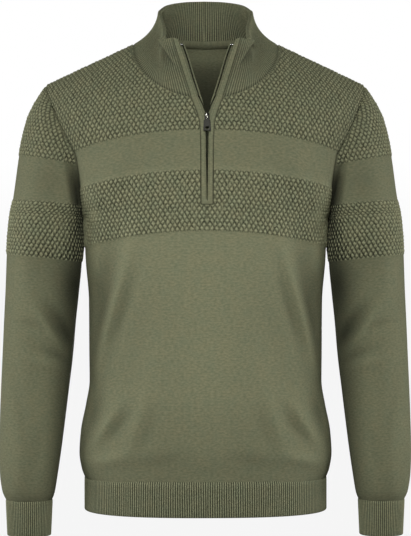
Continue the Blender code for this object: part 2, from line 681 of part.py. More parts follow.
class Collar:
    """The doubled rib collar's half on the wearer's left, from the centre back to the front edge."""

    def __init__(self, front, back):
        back_edge = back.points[0, :NECK_COLUMNS + 1]
        front_edge = front.points[0, NECK_COLUMNS::-1]
        back_turn = self._turns(back_edge) * COLLAR_SHOULDER_TURN
        front_turn = COLLAR_SHOULDER_TURN + self._turns(front_edge) * (1 - COLLAR_SHOULDER_TURN)
        self.known = np.concatenate([back_turn, front_turn[1:]])
        back_edge, front_edge = back_edge.copy(), front_edge.copy()
        back_edge[-1, 1] = 0
        seam = np.concatenate([back_edge, front_edge[1:]])
        back_in = back.inward[0, :NECK_COLUMNS + 1]
        front_in = front.inward[0, NECK_COLUMNS::-1]
        panel_in = np.concatenate([back_in, front_in[1:]])
        self.turns = np.linspace(0, 1, COLLAR_RIBS_HALF * FINE_PER_RIB + 1)
        base = self._spread(seam)
        top = np.stack([smooth(COLLAR, k, self.turns) for k in (1, 2, 3)], -1)
        middle = np.stack([smooth(COLLAR, k, self.turns) for k in (4, 5, 6)], -1)
        levels = np.array(COLLAR_LEVELS)[:, None, None]
        self.points = base * (1 - levels)**2 + middle * 2 * levels * (1 - levels) + top * levels**2
        rows, columns = self.points.shape[:2]
        outward = self.points * np.array([1, 1, 0])
        normals = point_normals(self.points.reshape(-1, 3), grid_faces(rows, columns),
                                outward.reshape(-1, 3)).reshape(rows, columns, 3)
        normals[:, 0, 0] = 0
        shared = unit(unit(normals[0]) + unit(-self._spread(panel_in)))
        at_panel = np.stack([np.interp(self.known, self.turns, shared[:, k]) for k in range(3)], -1)
        at_panel[NECK_COLUMNS, 1] = 0
        at_panel = unit(at_panel)
        back.inward[0, :NECK_COLUMNS + 1] = -at_panel[:NECK_COLUMNS + 1]
        front.inward[0, NECK_COLUMNS::-1] = -at_panel[NECK_COLUMNS:]
        shared = self._spread(at_panel)
        normals[0] = shared
        self.inward = -unit(normals)
        self.inward[0] = -shared
        tangent = np.gradient(base, axis=0)
        away = unit(np.cross(tangent, shared))
        if away[:, 2].sum() < 0:
            away = -away
        self.points[0] += away * NECK_SEAM_GAP

    @staticmethod
    def _turns(edge):
        """Arc length along an edge, from 0 to 1."""
        length = np.concatenate([[0], np.cumsum(np.linalg.norm(np.diff(edge, axis=0), axis=1))])
        return length / length[-1]

    def _spread(self, values):
        """Values at the neckline's points carried to every column."""
        return np.stack([np.interp(self.turns, self.known, values[:, k]) for k in range(3)], -1)

    def build(self):
        """Both halves as one collar."""
        rib = np.zeros(len(self.turns))
        rib[::FINE_PER_RIB] = RIB_DEPTH
        outer = self.points - self.inward * rib[None, :, None]
        inner = self.points + self.inward * COLLAR_WALL
        inner = inner[:, ::COLLAR_COARSE]
        outer = np.concatenate([mirrored(outer[:, :0:-1]), outer], 1)
        inner = np.concatenate([mirrored(inner[:, :0:-1]), inner], 1)
        points, faces = ribbed_wall(outer, inner, closed=False)
        add_object("collar", points, faces, "rib")


# ---------------------------------------------------------------- hem and cuffs
def superellipse(count, half_width, front, back, power):
    """Points of a ring, from the middle of the front towards +X and round the back."""
    turn = np.linspace(0, 2 * math.pi, 4 * count + 1)
    across = np.abs(np.sin(turn))**(2 / power) * np.sign(np.sin(turn))
    along = np.abs(np.cos(turn))**(2 / power) * np.sign(np.cos(turn))
    y = np.where(along > 0, -along * front, -along * back)
    dense = np.stack([across * half_width, y], -1)
    length = np.concatenate([[0], np.cumsum(np.linalg.norm(np.diff(dense, axis=0), axis=1))])
    even = np.arange(count) * length[-1] / count
    return np.stack([np.interp(even, length, dense[:, k]) for k in range(2)], -1)


def ring_outward(ring):
    """Outward directions of a ring in its plane."""
    tangent = np.roll(ring, -1, 0) - np.roll(ring, 1, 0)
    return unit(np.stack([tangent[:, 1], -tangent[:, 0]], -1))


def rib_tube(levels, ribs, ratio):
    """A rib tube from its levels, each a ring's centre, half width, depths and height."""
    outer, inner = [], []
    fine = ribs * FINE_PER_RIB
    raised = np.where(np.arange(fine) % FINE_PER_RIB == 0, RIB_DEPTH, 0.0)[:, None]
    for centre_x, half_width, front, back, z in levels:
        ring = superellipse(fine, half_width, front, back, SECTION_POWER if front != back else 2.0)
        out = ring_outward(ring)
        heights = np.full((fine, 1), z)
        move = np.array([centre_x, 0.0])
        outer.append(np.hstack([ring + out * raised + move, heights]))
        inner.append(np.hstack([ring - out * RIB_WALL + move, heights])[::ratio])
    return ribbed_wall(np.array(outer), np.array(inner), closed=True)


HEM_LEVELS = (
    # centre_x, half_width, front, back, z
    (0.0, 0.1725, 0.1140, 0.1040, HEM_TOP_Z - SEAM_GAP / 2),
    (0.0, 0.1725, 0.1135, 0.1035, HEM_BOTTOM_Z),
)
CUFF_LEVELS = (
    (0.2535, 0.0325, 0.0300, 0.0300, CUFF_TOP_Z - SEAM_GAP / 2),
    (0.2535, 0.0302, 0.0275, 0.0275, CUFF_BOTTOM_Z),
)
HEM_RATIO = 10
CUFF_RATIO = 5


def build_ribs():
    """The hem band and both cuffs."""
    points, faces = rib_tube(HEM_LEVELS, HEM_RIBS, HEM_RATIO)
    add_object("hem_band", points, faces, "rib")
    points, faces = rib_tube(CUFF_LEVELS, CUFF_RIBS, CUFF_RATIO)
    add_object("cuff_left", points, faces, "rib")
    add_object("cuff_right", mirrored(points), faces, "rib")


# ---------------------------------------------------------------- zip
PLACKET_PROUD = 0.0002     # the placket's face stands this much above the cloth beside it
PLACKET_GAP = 0.0005       # to the cloth's edge, which twists along the collar
TAPE_COVER = 0.0020        # the tape starts this far inside the placket's outer edge
TAPE_GAP = 0.0008          # between the placket's back and the tape
ZIP_STEP = 0.0030          # points of the edge nearer than this are joined


class ZipEdge:
    """The line from the end of the slit up to the collar's top along which the placket is sewn."""

    def __init__(self, front, collar):
        slit = front.points[SLIT_ROW::-1, 0]
        line = np.concatenate([slit, collar.points[1:, -1]])
        normal = -np.concatenate([front.inward[SLIT_ROW::-1, 0], collar.inward[1:, -1]])
        steps = np.linalg.norm(np.diff(line, axis=0), axis=1)
        keep = np.concatenate([[True], steps > ZIP_STEP])
        self.line, normal = line[keep], normal[keep]
        tangent = np.gradient(self.line, axis=0)
        self.across = unit(np.cross(tangent, normal))
        if self.across[:, 0].sum() > 0:
            self.across = -self.across
        self.across[0] = (-1, 0, 0)
        self.normal = unit(normal)
        self.line[0, 2] += SEAM_GAP

    def strip(self, near, far, face, thickness):
        """A strip along the edge, between two distances across, below or above the cloth's face."""
        near = np.broadcast_to(near, (len(self.line),))[:, None]
        far = np.broadcast_to(far, (len(self.line),))[:, None]
        lifted = self.line + self.normal * face
        points = np.stack([lifted + self.across * near, lifted + self.across * far], 1)
        inward = np.repeat(-self.normal[:, None], 2, 1)
        faces = grid_faces(*points.shape[:2])
        return points.reshape(-1, 3), faces, inward.reshape(-1, 3), thickness

    def coil_reach(self):
        """Distance across from the line to the coil's edge."""
        edge = smooth(ZIP_EDGE, 1, self.line[:, 2])
        return (self.line[:, 0] - edge) / np.abs(self.across[:, 0])

    def build(self):
        """Both plackets and both zip tapes."""
        strips = (
            ("placket", PLACKET_GAP, PLACKET_GAP + PLACKET_WIDTH, PLACKET_PROUD, PLACKET_WALL, "knit"),
            ("zip_tape", TAPE_COVER, self.coil_reach(), PLACKET_PROUD - PLACKET_WALL - TAPE_GAP,
             TAPE_WALL, "tape"),
        )
        for name, near, far, face, thickness, finish in strips:
            points, faces, inward, thick = self.strip(near, far, face, thickness)
            wall_object(name + "_left", points, faces, inward, thick, finish)
            wall_object(name + "_right", mirrored(points), faces, mirrored(inward), thick, finish)


SLIDER_REACH = 0.0100      # height on each side over which the slope under the slider is taken
SLIDER_SIDE = 0.0030
SLIDER_CORNER = 0.0012
SLIDER_HALF_WIDTH = 0.0033
SLIDER_HALF_LENGTH = 0.0050
SLIDER_BACK = -0.0028      # measured from the cloth's face, outwards positive
SLIDER_FACE = 0.0010
BRIDGE_HALF_WIDTH = 0.0007
BRIDGE = (
    # along, out: the arch's outer line, then its inner line back
    (-0.0045, 0.0008), (-0.0045, 0.0024), (-0.0034, 0.0036), (0.0034, 0.0036), (0.0045, 0.0024),
    (0.0045, 0.0008), (0.0034, 0.0008), (0.0034, 0.0021), (0.0026, 0.0028), (-0.0026, 0.0028),
    (-0.0034, 0.0021), (-0.0034, 0.0008),
)
HINGE_OUT = 0.0019         # height of the tab's hinge pin over the cloth's face
TAB_WALL = 0.0011
TAB_OUTLINE = (
    # across, along: the tab's left side from its pin down; mirrored for the right
    (0.0028, -0.0006), (0.0028, 0.0052), (0.0045, 0.0060), (0.0053, 0.0206), (0.0048, 0.0212),
)
TAB_EYE = (0.0012, 0.0006, 0.0050)         # half width, start, end: the bridge stands in it
TAB_SLOT = (0.0027, 0.0150, 0.0190)


def slider_frame():
    """Origin on the cloth's face at the slider, with its directions along, out and across."""
    z = SLIDER_Z + SLIDER_REACH * np.array([1, 0, -1])
    y = depth(np.full(3, SLIDER_SIDE), z, FRONT)
    along = unit(np.array([0.0, y[2] - y[0], z[2] - z[0]]))
    out = unit(np.array([0.0, along[2], -along[1]]))
    if out[1] > 0:
        out = -out
    return np.array([0.0, y[1], z[1]]), along, out


def prism(outline, start, end, place):
    """Points and faces of an outline (u, v) between two heights, placed by a function."""
    count = len(outline)
    points = [place(u, v, start) for u, v in outline] + [place(u, v, end) for u, v in outline]
    faces = [tuple(range(count)), tuple(range(2 * count - 1, count - 1, -1))]
    faces += [(i, (i + 1) % count, (i + 1) % count + count, i + count) for i in range(count)]
    return np.array(points), faces


def build_slider():
    """The slider's body with the bridge that carries the tab."""
    origin, along, out = slider_frame()
    across = np.array([1.0, 0.0, 0.0])

    def flat(u, v, w):
        return origin + across * u + along * v + out * w

    def side(v, w, u):
        return origin + across * u + along * v + out * w

    half, length, corner = SLIDER_HALF_WIDTH, SLIDER_HALF_LENGTH, SLIDER_CORNER
    outline = [(-half + corner, length), (half - corner, length), (half, length - corner),
               (half, -length + corner), (half - corner, -length), (-half + corner, -length),
               (-half, -length + corner), (-half, length - corner)]
    points, faces = prism(outline, SLIDER_BACK, SLIDER_FACE, flat)
    body = add_object("zip_slider", points, faces, "metal", origin)
    points, faces = prism(BRIDGE, -BRIDGE_HALF_WIDTH, BRIDGE_HALF_WIDTH, side)
    bridge = add_object("bridge", points, faces, "metal", origin)
    bridge.hide_render = True
    bridge.display_type = "WIRE"
    union = body.modifiers.new("bridge", "BOOLEAN")
    union.operation = "UNION"
    union.object = bridge


def rectangle(half, start, end):
    """A rectangle's corners across and along."""
    return [(-half, start), (half, start), (half, end), (-half, end)]


def build_tab():
    """The pull tab, its origin on the hinge pin's axis."""
    origin, along, out = slider_frame()
    hinge = origin + out * HINGE_OUT
    across = np.array([1.0, 0.0, 0.0])

    def place(u, v, w):
        return hinge + across * u + along * v + out * w

    outline = [(u, v) for u, v in TAB_OUTLINE] + [(-u, v) for u, v in reversed(TAB_OUTLINE)]
    points, faces = prism(outline, -TAB_WALL / 2, TAB_WALL / 2, place)
    tab = add_object("zip_pull", points, faces, "metal", hinge)
    for name, (half, start, end) in (("eye", TAB_EYE), ("slot", TAB_SLOT)):
        points, faces = prism(rectangle(half, start, end), -TAB_WALL, TAB_WALL, place)
        cutter = add_object(name, points, faces, "metal", hinge)
        cutter.hide_render = True
        cutter.display_type = "WIRE"
        cut = tab.modifiers.new(name, "BOOLEAN")
        cut.operation = "DIFFERENCE"
        cut.object = cutter


# ---------------------------------------------------------------- neck tape
NECK_TAPE_WALL = 0.0010
NECK_TAPE_GAP = 0.0006     # to the inside of the back panel
NECK_TAPE_SPAN = 4         # columns on each side of the centre
NECK_TAPE_EDGES = (0.04, 1.0)      # upper and lower edge, as parts of the back's first row


def build_neck_tape(back):
    """The plain strip inside the back neck, made from the back panel's own points."""
    columns = slice(0, NECK_TAPE_SPAN + 1)
    rows = []
    directions = []
    for part in NECK_TAPE_EDGES:
        points = back.points[0, columns] * (1 - part) + back.points[1, columns] * part
        inward = unit(back.inward[0, columns] * (1 - part) + back.inward[1, columns] * part)
        rows.append(points + inward * (PANEL_WALL + NECK_TAPE_GAP))
        directions.append(inward)
    half, inward = np.array(rows), np.array(directions)
    points = np.concatenate([mirrored(half[:, :0:-1]), half], 1)
    inward = np.concatenate([mirrored(inward[:, :0:-1]), inward], 1)
    faces = grid_faces(*points.shape[:2])
    wall_object("neck_tape", points.reshape(-1, 3), faces, inward.reshape(-1, 3), NECK_TAPE_WALL, "tape")


def main():
    """Clear the scene and build every piece."""
    for old in list(bpy.data.objects):
        bpy.data.objects.remove(old, do_unlink=True)
    front, back = Panel(FRONT), Panel(BACK)
    sleeve = Sleeve(front, back)
    collar = Collar(front, back)
    front.build("front")
    back.build("back")
    sleeve.build()
    collar.build()
    build_ribs()
    ZipEdge(front, collar).build()
    build_slider()
    build_tab()
    build_neck_tape(back)


main()
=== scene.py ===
"""Quarter zip sweater in olive cotton knit: honeycomb yoke and chest band, plain body, ribbed trims.

The garment is hollow and filled out as worn. Metres, +Z up, +X to the wearer's left, front towards -Y;
the origin lies midway between the high shoulder points. Each knitted piece is a thin closed cloth on
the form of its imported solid, with its stitch relief, folds and seams worked in.
"""

import logging
import math
from collections.abc import Callable
from dataclasses import dataclass
from enum import Enum

import bmesh
import bpy
import numpy as np
from mathutils import Matrix, Vector


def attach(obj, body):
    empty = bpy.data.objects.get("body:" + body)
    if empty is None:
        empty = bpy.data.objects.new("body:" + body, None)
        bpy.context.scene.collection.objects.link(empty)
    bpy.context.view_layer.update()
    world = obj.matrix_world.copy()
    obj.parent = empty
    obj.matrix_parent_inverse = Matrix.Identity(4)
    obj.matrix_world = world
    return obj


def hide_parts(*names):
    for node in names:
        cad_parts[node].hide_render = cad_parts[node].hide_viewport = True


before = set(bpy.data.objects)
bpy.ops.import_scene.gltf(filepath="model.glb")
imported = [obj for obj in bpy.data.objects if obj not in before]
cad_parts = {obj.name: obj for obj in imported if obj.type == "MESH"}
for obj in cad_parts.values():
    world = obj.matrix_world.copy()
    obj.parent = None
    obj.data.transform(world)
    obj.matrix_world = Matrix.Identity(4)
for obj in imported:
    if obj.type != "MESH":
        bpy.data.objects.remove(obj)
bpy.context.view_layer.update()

logging.basicConfig(level=logging.INFO, format="%(message)s")
LOG = logging.getLogger("sweater")

Array = np.ndarray
Span = tuple[float, float]
Triple = tuple[float, float, float]
Mesh = bpy.types.Mesh
Piece = bpy.types.Object
Node = bpy.types.Node
Socket = bpy.types.NodeSocket
Tree = bpy.types.NodeTree

# ---------------------------------------------------------------- sizes shared with the solids
NECK_HALF = 0.104
NECK_DROP_FRONT = 0.0865
NECK_RISE_BACK = 0.0105
SHOULDER_HALF = 0.229
SHOULDER_DROP = 0.059
UNDERARM_Z = -0.250
SLIT_END_Z = -0.234
HEM_TOP_Z = -0.620
HEM_BOTTOM_Z = -0.666
CUFF_TOP_Z = -0.654
CUFF_BOTTOM_Z = -0.705
YOKE_END, BAND_START, BAND_END = -0.1328, -0.1843, -0.2712

TORSO = np.array([
    # z,     half_width, front, back
    (0.060, 0.2290, 0.100, 0.100),
    (-0.059, 0.2290, 0.121, 0.106),
    (-0.110, 0.2090, 0.125, 0.109),
    (-0.160, 0.1880, 0.126, 0.110),
    (-0.207, 0.1770, 0.125, 0.109),
    (-0.250, 0.1745, 0.123, 0.108),
    (-0.310, 0.1720, 0.121, 0.106),
    (-0.367, 0.1675, 0.118, 0.104),
    (-0.439, 0.1670, 0.114, 0.102),
    (-0.482, 0.1665, 0.114, 0.103),
    (-0.515, 0.1715, 0.116, 0.105),
    (-0.554, 0.1790, 0.118, 0.108),
    (-0.585, 0.1810, 0.119, 0.110),
    (-0.606, 0.1780, 0.117, 0.108),
    (-0.620, 0.1735, 0.115, 0.105),
])

ARMHOLE = np.array([
    # z,     x,      front, back
    (-0.059, 0.2290, 0.044, 0.046),
    (-0.080, 0.2225, 0.050, 0.052),
    (-0.102, 0.2130, 0.056, 0.058),
    (-0.137, 0.1960, 0.062, 0.066),
    (-0.166, 0.1825, 0.064, 0.068),
    (-0.207, 0.1770, 0.056, 0.060),
    (-0.232, 0.1752, 0.038, 0.040),
    (-0.243, 0.1747, 0.022, 0.022),
    (-0.250, 0.1745, 0.000, 0.000),
])

COURSE_DROP = np.array([
    # z at the centre, drop at the side
    (-0.1328, 0.0272),
    (-0.1843, 0.0227),
    (-0.2712, 0.0213),
    (-0.4500, 0.0080),
    (-0.6200, 0.0000),
])

SLIT = np.array([
    # z,      half_width
    (-0.2340, 0.0090),
    (-0.1500, 0.0095),
    (-0.1220, 0.0108),
    (-0.1070, 0.0147),
    (-0.0850, 0.0228),
])

SLEEVE = np.array([
    # outer_x, outer_z, inner_x, inner_z, half_depth
    (0.2290, -0.059, 0.2290, -0.0785, 0.0550),
    (0.2470, -0.088, 0.2230, -0.1010, 0.0605),
    (0.2560, -0.108, 0.2130, -0.118, 0.0620),
    (0.2635, -0.137, 0.1960, -0.150, 0.0650),
    (0.2680, -0.161, 0.1810, -0.177, 0.0665),
    (0.2765, -0.222, 0.1755, -0.230, 0.0645),
    (0.2806, -0.243, 0.1745, -0.250, 0.0635),
    (0.2816, -0.250, 0.1770, -0.257, 0.0632),
    (0.2837, -0.270, 0.1773, -0.278, 0.0625),
    (0.2855, -0.302, 0.1782, -0.313, 0.0610),
    (0.2872, -0.350, 0.1820, -0.355, 0.0590),
    (0.2894, -0.396, 0.1865, -0.398, 0.0570),
    (0.2915, -0.444, 0.1905, -0.445, 0.0550),
    (0.2938, -0.495, 0.1965, -0.495, 0.0530),
    (0.2955, -0.540, 0.2020, -0.540, 0.0510),
    (0.2966, -0.585, 0.2078, -0.585, 0.0485),
    (0.2955, -0.615, 0.2122, -0.615, 0.0455),
    (0.2925, -0.638, 0.2158, -0.638, 0.0400),
    (0.2880, -0.654, 0.2190, -0.654, 0.0325),
])

COLLAR_SHOULDER_TURN = 0.45
COLLAR = np.array([
    # turn, top_x,  top_y,   top_z,   mid_x,  mid_y,   mid_z
    (0.00, 0.0000, 0.0755, 0.0735, 0.0000, 0.0710, 0.0380),
    (0.10, 0.0240, 0.0735, 0.0725, 0.0260, 0.0690, 0.0375),
    (0.21, 0.0460, 0.0630, 0.0690, 0.0500, 0.0600, 0.0350),
    (0.29, 0.0580, 0.0470, 0.0640, 0.0610, 0.0460, 0.0310),
    (0.39, 0.0650, 0.0262, 0.0560, 0.0690, 0.0260, 0.0240),
    (0.50, 0.0675, 0.0030, 0.0495, 0.0710, -0.0020, 0.0140),
    (0.62, 0.0640, -0.0210, 0.0345, 0.0715, -0.0300, -0.0070),
    (0.73, 0.0605, -0.0420, 0.0200, 0.0690, -0.0560, -0.0260),
    (0.80, 0.0610, -0.0560, 0.0095, 0.0670, -0.0740, -0.0350),
    (0.88, 0.0665, -0.0700, 0.0000, 0.0610, -0.0920, -0.0390),
    (0.93, 0.0620, -0.0800, -0.0010, 0.0520, -0.1000, -0.0410),
    (0.97, 0.0550, -0.0880, -0.0010, 0.0430, -0.1045, -0.0420),
    (1.00, 0.0480, -0.0945, -0.0005, 0.0362, -0.1065, -0.0420),
])

ZIP_EDGE = np.array([
    # z,      half_width
    (-0.2340, 0.0004),
    (-0.1120, 0.0004),
    (-0.1050, 0.0031),
    (-0.0912, 0.0071),
    (-0.0630, 0.0165),
    (-0.0344, 0.0257),
    (-0.0010, 0.0385),
])

# Folds of each piece: middle, lean of the fold's line from upright (degrees, positive towards the
# centre at its top), half length, half width, depth (negative for a ridge). All are alike left and right.
FOLDS = {
    "front": np.array([
        # x,    z,      lean, half_length, half_width, depth
        (0.156, -0.375, 14.5, 0.078, 0.017, 0.0260),
        (0.146, -0.375, 14.5, 0.060, 0.006, 0.0060),
        (0.137, -0.395, 16.0, 0.078, 0.006, -0.0070),
        (0.125, -0.404, 18.0, 0.075, 0.010, 0.0105),
        (0.161, -0.530, 19.0, 0.030, 0.009, 0.0170),
        (0.143, -0.544, 32.0, 0.034, 0.008, -0.0065),
        (0.127, -0.546, 37.0, 0.034, 0.010, 0.0075),
        (0.097, -0.538, 14.0, 0.038, 0.010, -0.0030),
        (0.085, -0.548, 20.0, 0.034, 0.010, 0.0034),
        (0.140, -0.588, 76.0, 0.030, 0.008, -0.0060),
        (0.060, -0.590, 80.0, 0.034, 0.009, 0.0026),
        (0.118, -0.215, 30.0, 0.050, 0.016, 0.0025),
        (0.104, -0.430, 14.0, 0.100, 0.030, 0.0048),
        (0.000, -0.606, 90.0, 0.150, 0.022, 0.0036),
        (0.000, -0.560, 90.0, 0.120, 0.050, 0.0030),
    ]),
    "back": np.array([
        (0.135, -0.300, 24.0, 0.080, 0.016, 0.0090),
        (0.112, -0.330, 22.0, 0.070, 0.008, -0.0030),
        (0.132, -0.525, 52.0, 0.046, 0.011, 0.0085),
        (0.122, -0.553, 58.0, 0.044, 0.009, -0.0040),
        (0.060, -0.568, 76.0, 0.048, 0.010, 0.0055),
        (0.075, -0.460, 62.0, 0.055, 0.012, 0.0045),
        (0.030, -0.500, 40.0, 0.040, 0.012, 0.0030),
    ]),
    "sleeve_front": np.array([
        (0.183, -0.220, -12.0, 0.036, 0.0055, 0.0360),
        (0.216, -0.204, -12.0, 0.034, 0.030, 0.0060),
        (0.190, -0.345, -24.0, 0.050, 0.020, 0.0120),
        (0.224, -0.335, -24.0, 0.056, 0.024, 0.0070),
        (0.207, -0.406, -33.0, 0.034, 0.010, 0.0170),
        (0.219, -0.412, -33.0, 0.036, 0.006, -0.0065),
        (0.246, -0.402, -74.0, 0.020, 0.005, 0.0032),
        (0.215, -0.446, -66.0, 0.020, 0.006, 0.0055),
        (0.232, -0.455, -70.0, 0.020, 0.006, -0.0024),
        (0.262, -0.520, -14.0, 0.050, 0.010, 0.0026),
        (0.245, -0.462, -4.0, 0.070, 0.045, 0.0040),
        (0.240, -0.585, 12.0, 0.040, 0.009, 0.0030),
    ]),
    "sleeve_back": np.array([
        (0.183, -0.220, -12.0, 0.036, 0.0055, 0.0300),
        (0.242, -0.372, 62.0, 0.036, 0.010, 0.0075),
        (0.236, -0.392, 66.0, 0.030, 0.007, -0.0030),
        (0.235, -0.425, -60.0, 0.036, 0.010, 0.0065),
        (0.255, -0.480, 40.0, 0.036, 0.010, 0.0035),
        (0.262, -0.565, 70.0, 0.030, 0.009, 0.0045),
        (0.240, -0.600, -30.0, 0.034, 0.009, 0.0030),
    ]),
}


# ---------------------------------------------------------------- curves
def smooth(table: Array, column: int, at: Array) -> Array:
    """Read a table's column at places along its first column, eased between the rows.

    Args:
        table: Rows of numbers, the first column being the place.
        column: Column to read.
        at: Places to read it at.

    Returns:
        One value for each place.
    """
    order = np.argsort(table[:, 0])
    x, y = table[order, 0], table[order, column]
    step = np.diff(x)
    slope = np.diff(y) / step
    product = slope[1:] * slope[:-1]
    total = slope[1:] + slope[:-1]
    inner = np.where(product > 0, 2 * product / np.where(total == 0, 1, total), 0.0)
    tangent = np.concatenate(([slope[0]], inner, [slope[-1]]))
    at = np.clip(np.asarray(at, float), x[0], x[-1])
    k = np.clip(np.searchsorted(x, at) - 1, 0, len(x) - 2)
    t = (at - x[k]) / step[k]
    return ((2 * t**3 - 3 * t**2 + 1) * y[k] + (t**3 - 2 * t**2 + t) * step[k] * tangent[k]
            + (3 * t**2 - 2 * t**3) * y[k + 1] + (t**3 - t**2) * step[k] * tangent[k + 1])


def unit(vectors: Array) -> Array:
    """Scale vectors to length one; a zero vector stays zero."""
    length = np.linalg.norm(vectors, axis=-1, keepdims=True)
    return vectors / np.where(length == 0, 1, length)


def ramp(value: Array, start: float, end: float) -> Array:
    """Ease from 0 at start to 1 at end."""
    t = np.clip((value - start) / (end - start), 0, 1)
    return t * t * (3 - 2 * t)


def bilinear(table: Array, a: Array, b: Array) -> Array:
    """Read a grid of values at fractional row and column numbers."""
    i = np.clip(np.floor(a).astype(int), 0, table.shape[0] - 2)
    j = np.clip(np.floor(b).astype(int), 0, table.shape[1] - 2)
    u, v = np.clip(a - i, 0, 1), np.clip(b - j, 0, 1)
    return ((1 - u) * (1 - v) * table[i, j] + u * (1 - v) * table[i + 1, j]
            + (1 - u) * v * table[i, j + 1] + u * v * table[i + 1, j + 1])


def run_lengths(points: Array, axis: int = 0) -> Array:
    """Length along a line or a grid of points from its first point, row or column."""
    step = np.linalg.norm(np.diff(points, axis=axis), axis=-1)
    start = np.zeros_like(np.take(step, [0], axis=axis))
    return np.concatenate([start, np.cumsum(step, axis=axis)], axis=axis)


def read_rows(at: Array, places: Array, rows: Array) -> Array:
    """Read a list of points or directions at places between its own."""
    return np.stack([np.interp(at, places, rows[:, k]) for k in range(rows.shape[1])], -1)


# ---------------------------------------------------------------- the worn form
class Side(Enum):
    """Which half of the body a place is on; the value is the sign of its depth."""

    FRONT = -1
    BACK = 1


SECTION_POWER = 2.5                    # how square the body's level section is
SIDE_POWER = 0.40                      # how full its sides are, and how much fuller over the chest
CHEST_SIDE_GAIN = 0.20
CHEST_SIDE_RISE = 0.11
CREST_MARGIN = 0.010
ROLL_START = {Side.FRONT: -0.140, Side.BACK: -0.100}
ROLL_POWER = {Side.FRONT: 1.7, Side.BACK: 2.0}
EVEN_STEPS = (-0.018, -0.009, 0.0, 0.009, 0.018)
EVEN_HEIGHT = 0.022
EVEN_START, EVEN_FULL = 0.008, 0.050   # shares of the half width, from the side seam
FOLD_NAMES = {Side.FRONT: "front", Side.BACK: "back"}


def shoulder_line(x: Array) -> Array:
    """Height of the shoulder seam's line over a distance from the centre."""
    return -SHOULDER_DROP * (x - NECK_HALF) / (SHOULDER_HALF - NECK_HALF)


def edge_x(z: Array) -> Array:
    """Distance of the side seam or the armhole from the centre."""
    low = smooth(TORSO, 1, np.minimum(z, UNDERARM_Z))
    return np.where(z > UNDERARM_Z, smooth(ARMHOLE, 1, z), low)


def fold_depth(x: Array, z: Array, name: str) -> Array:
    """How far the folds of a piece press it in at a place in the front view."""
    total = np.zeros_like(np.asarray(x, float))
    for middle_x, middle_z, lean, half_length, half_width, fold in FOLDS[name]:
        turn = math.radians(lean)
        u, v = x - middle_x, z - middle_z
        along = -u * math.sin(turn) + v * math.cos(turn)
        across = u * math.cos(turn) + v * math.sin(turn)
        total = total + fold * np.exp(-(along / half_length)**2 - (across / half_width)**2)
    return total


def depth(x: Array, z: Array, side: Side) -> Array:
    """Depth of the body's outer face, signed and evened out round the underarm, so that no corner shows."""
    plain = panel_depth(x, z, side)
    share = np.exp(-((z - UNDERARM_Z) / EVEN_HEIGHT)**2) * ramp(1 - x / edge_x(z), EVEN_START, EVEN_FULL)
    even = sum(panel_depth(x, z + step, side) for step in EVEN_STEPS) / len(EVEN_STEPS)
    return plain + (even - plain) * share


def panel_depth(x: Array, z: Array, side: Side) -> Array:
    """Depth of the body's outer face as its sizes give it."""
    column = 2 if side is Side.FRONT else 3
    centre = smooth(TORSO, column, z)
    edge = np.where(z > UNDERARM_Z, smooth(ARMHOLE, column, z), 0.0)
    power = SIDE_POWER + CHEST_SIDE_GAIN * np.clip((z - UNDERARM_Z) / CHEST_SIDE_RISE, 0, 1)
    across = np.clip(x / edge_x(z), 0, 1)
    base = edge + (centre - edge) * (1 - across**SECTION_POWER)**power
    base = base * (1 - fold_depth(x, z, FOLD_NAMES[side]) / centre)
    start = ROLL_START[side]
    crest = np.maximum(shoulder_line(x), start + CREST_MARGIN)
    rise = np.clip((z - start) / (crest - start), 0, 1)
    roll = (1 - rise**ROLL_POWER[side])**(1 / ROLL_POWER[side])
    return side.value * base * roll


def armhole_z(along: Array) -> Array:
    """Height on the armhole, from the shoulder tip (0) to the underarm (1)."""
    return -SHOULDER_DROP + (UNDERARM_Z + SHOULDER_DROP) * (1 - np.cos(math.pi * along)) / 2


def armhole_along(z: Array) -> Array:
    """Place on the armhole of a height."""
    part = (z + SHOULDER_DROP) / (UNDERARM_Z + SHOULDER_DROP)
    return np.arccos(np.clip(1 - 2 * part, -1, 1)) / math.pi


def course_z(centre: Array, across: Array) -> Array:
    """Height of a knit course that has a given height at the centre."""
    return centre - smooth(COURSE_DROP, 1, centre) * across**2


YOKE_SIDE_Z = YOKE_END - float(COURSE_DROP[0, 1])   # the yoke's last course at the armhole
YOKE_SIDE_ALONG = float(armhole_along(np.array(YOKE_SIDE_Z)))
NECK_PART = 5 / 9                      # share of a half panel's columns that end at the neckline
NECK_CURVE = 3                         # how flat the back neckline is at its middle
SLIT_FADE = 6                          # how quickly the columns leave the slit's edge
ARMHOLE_FADE = 4                       # how quickly they turn to the armhole


def slit_edge(z: Array, side: Side) -> Array:
    """Distance of a panel's inner edge from the centre: the slit's edge in front, nothing at the back."""
    return smooth(SLIT, 1, z) if side is Side.FRONT else np.zeros_like(z)


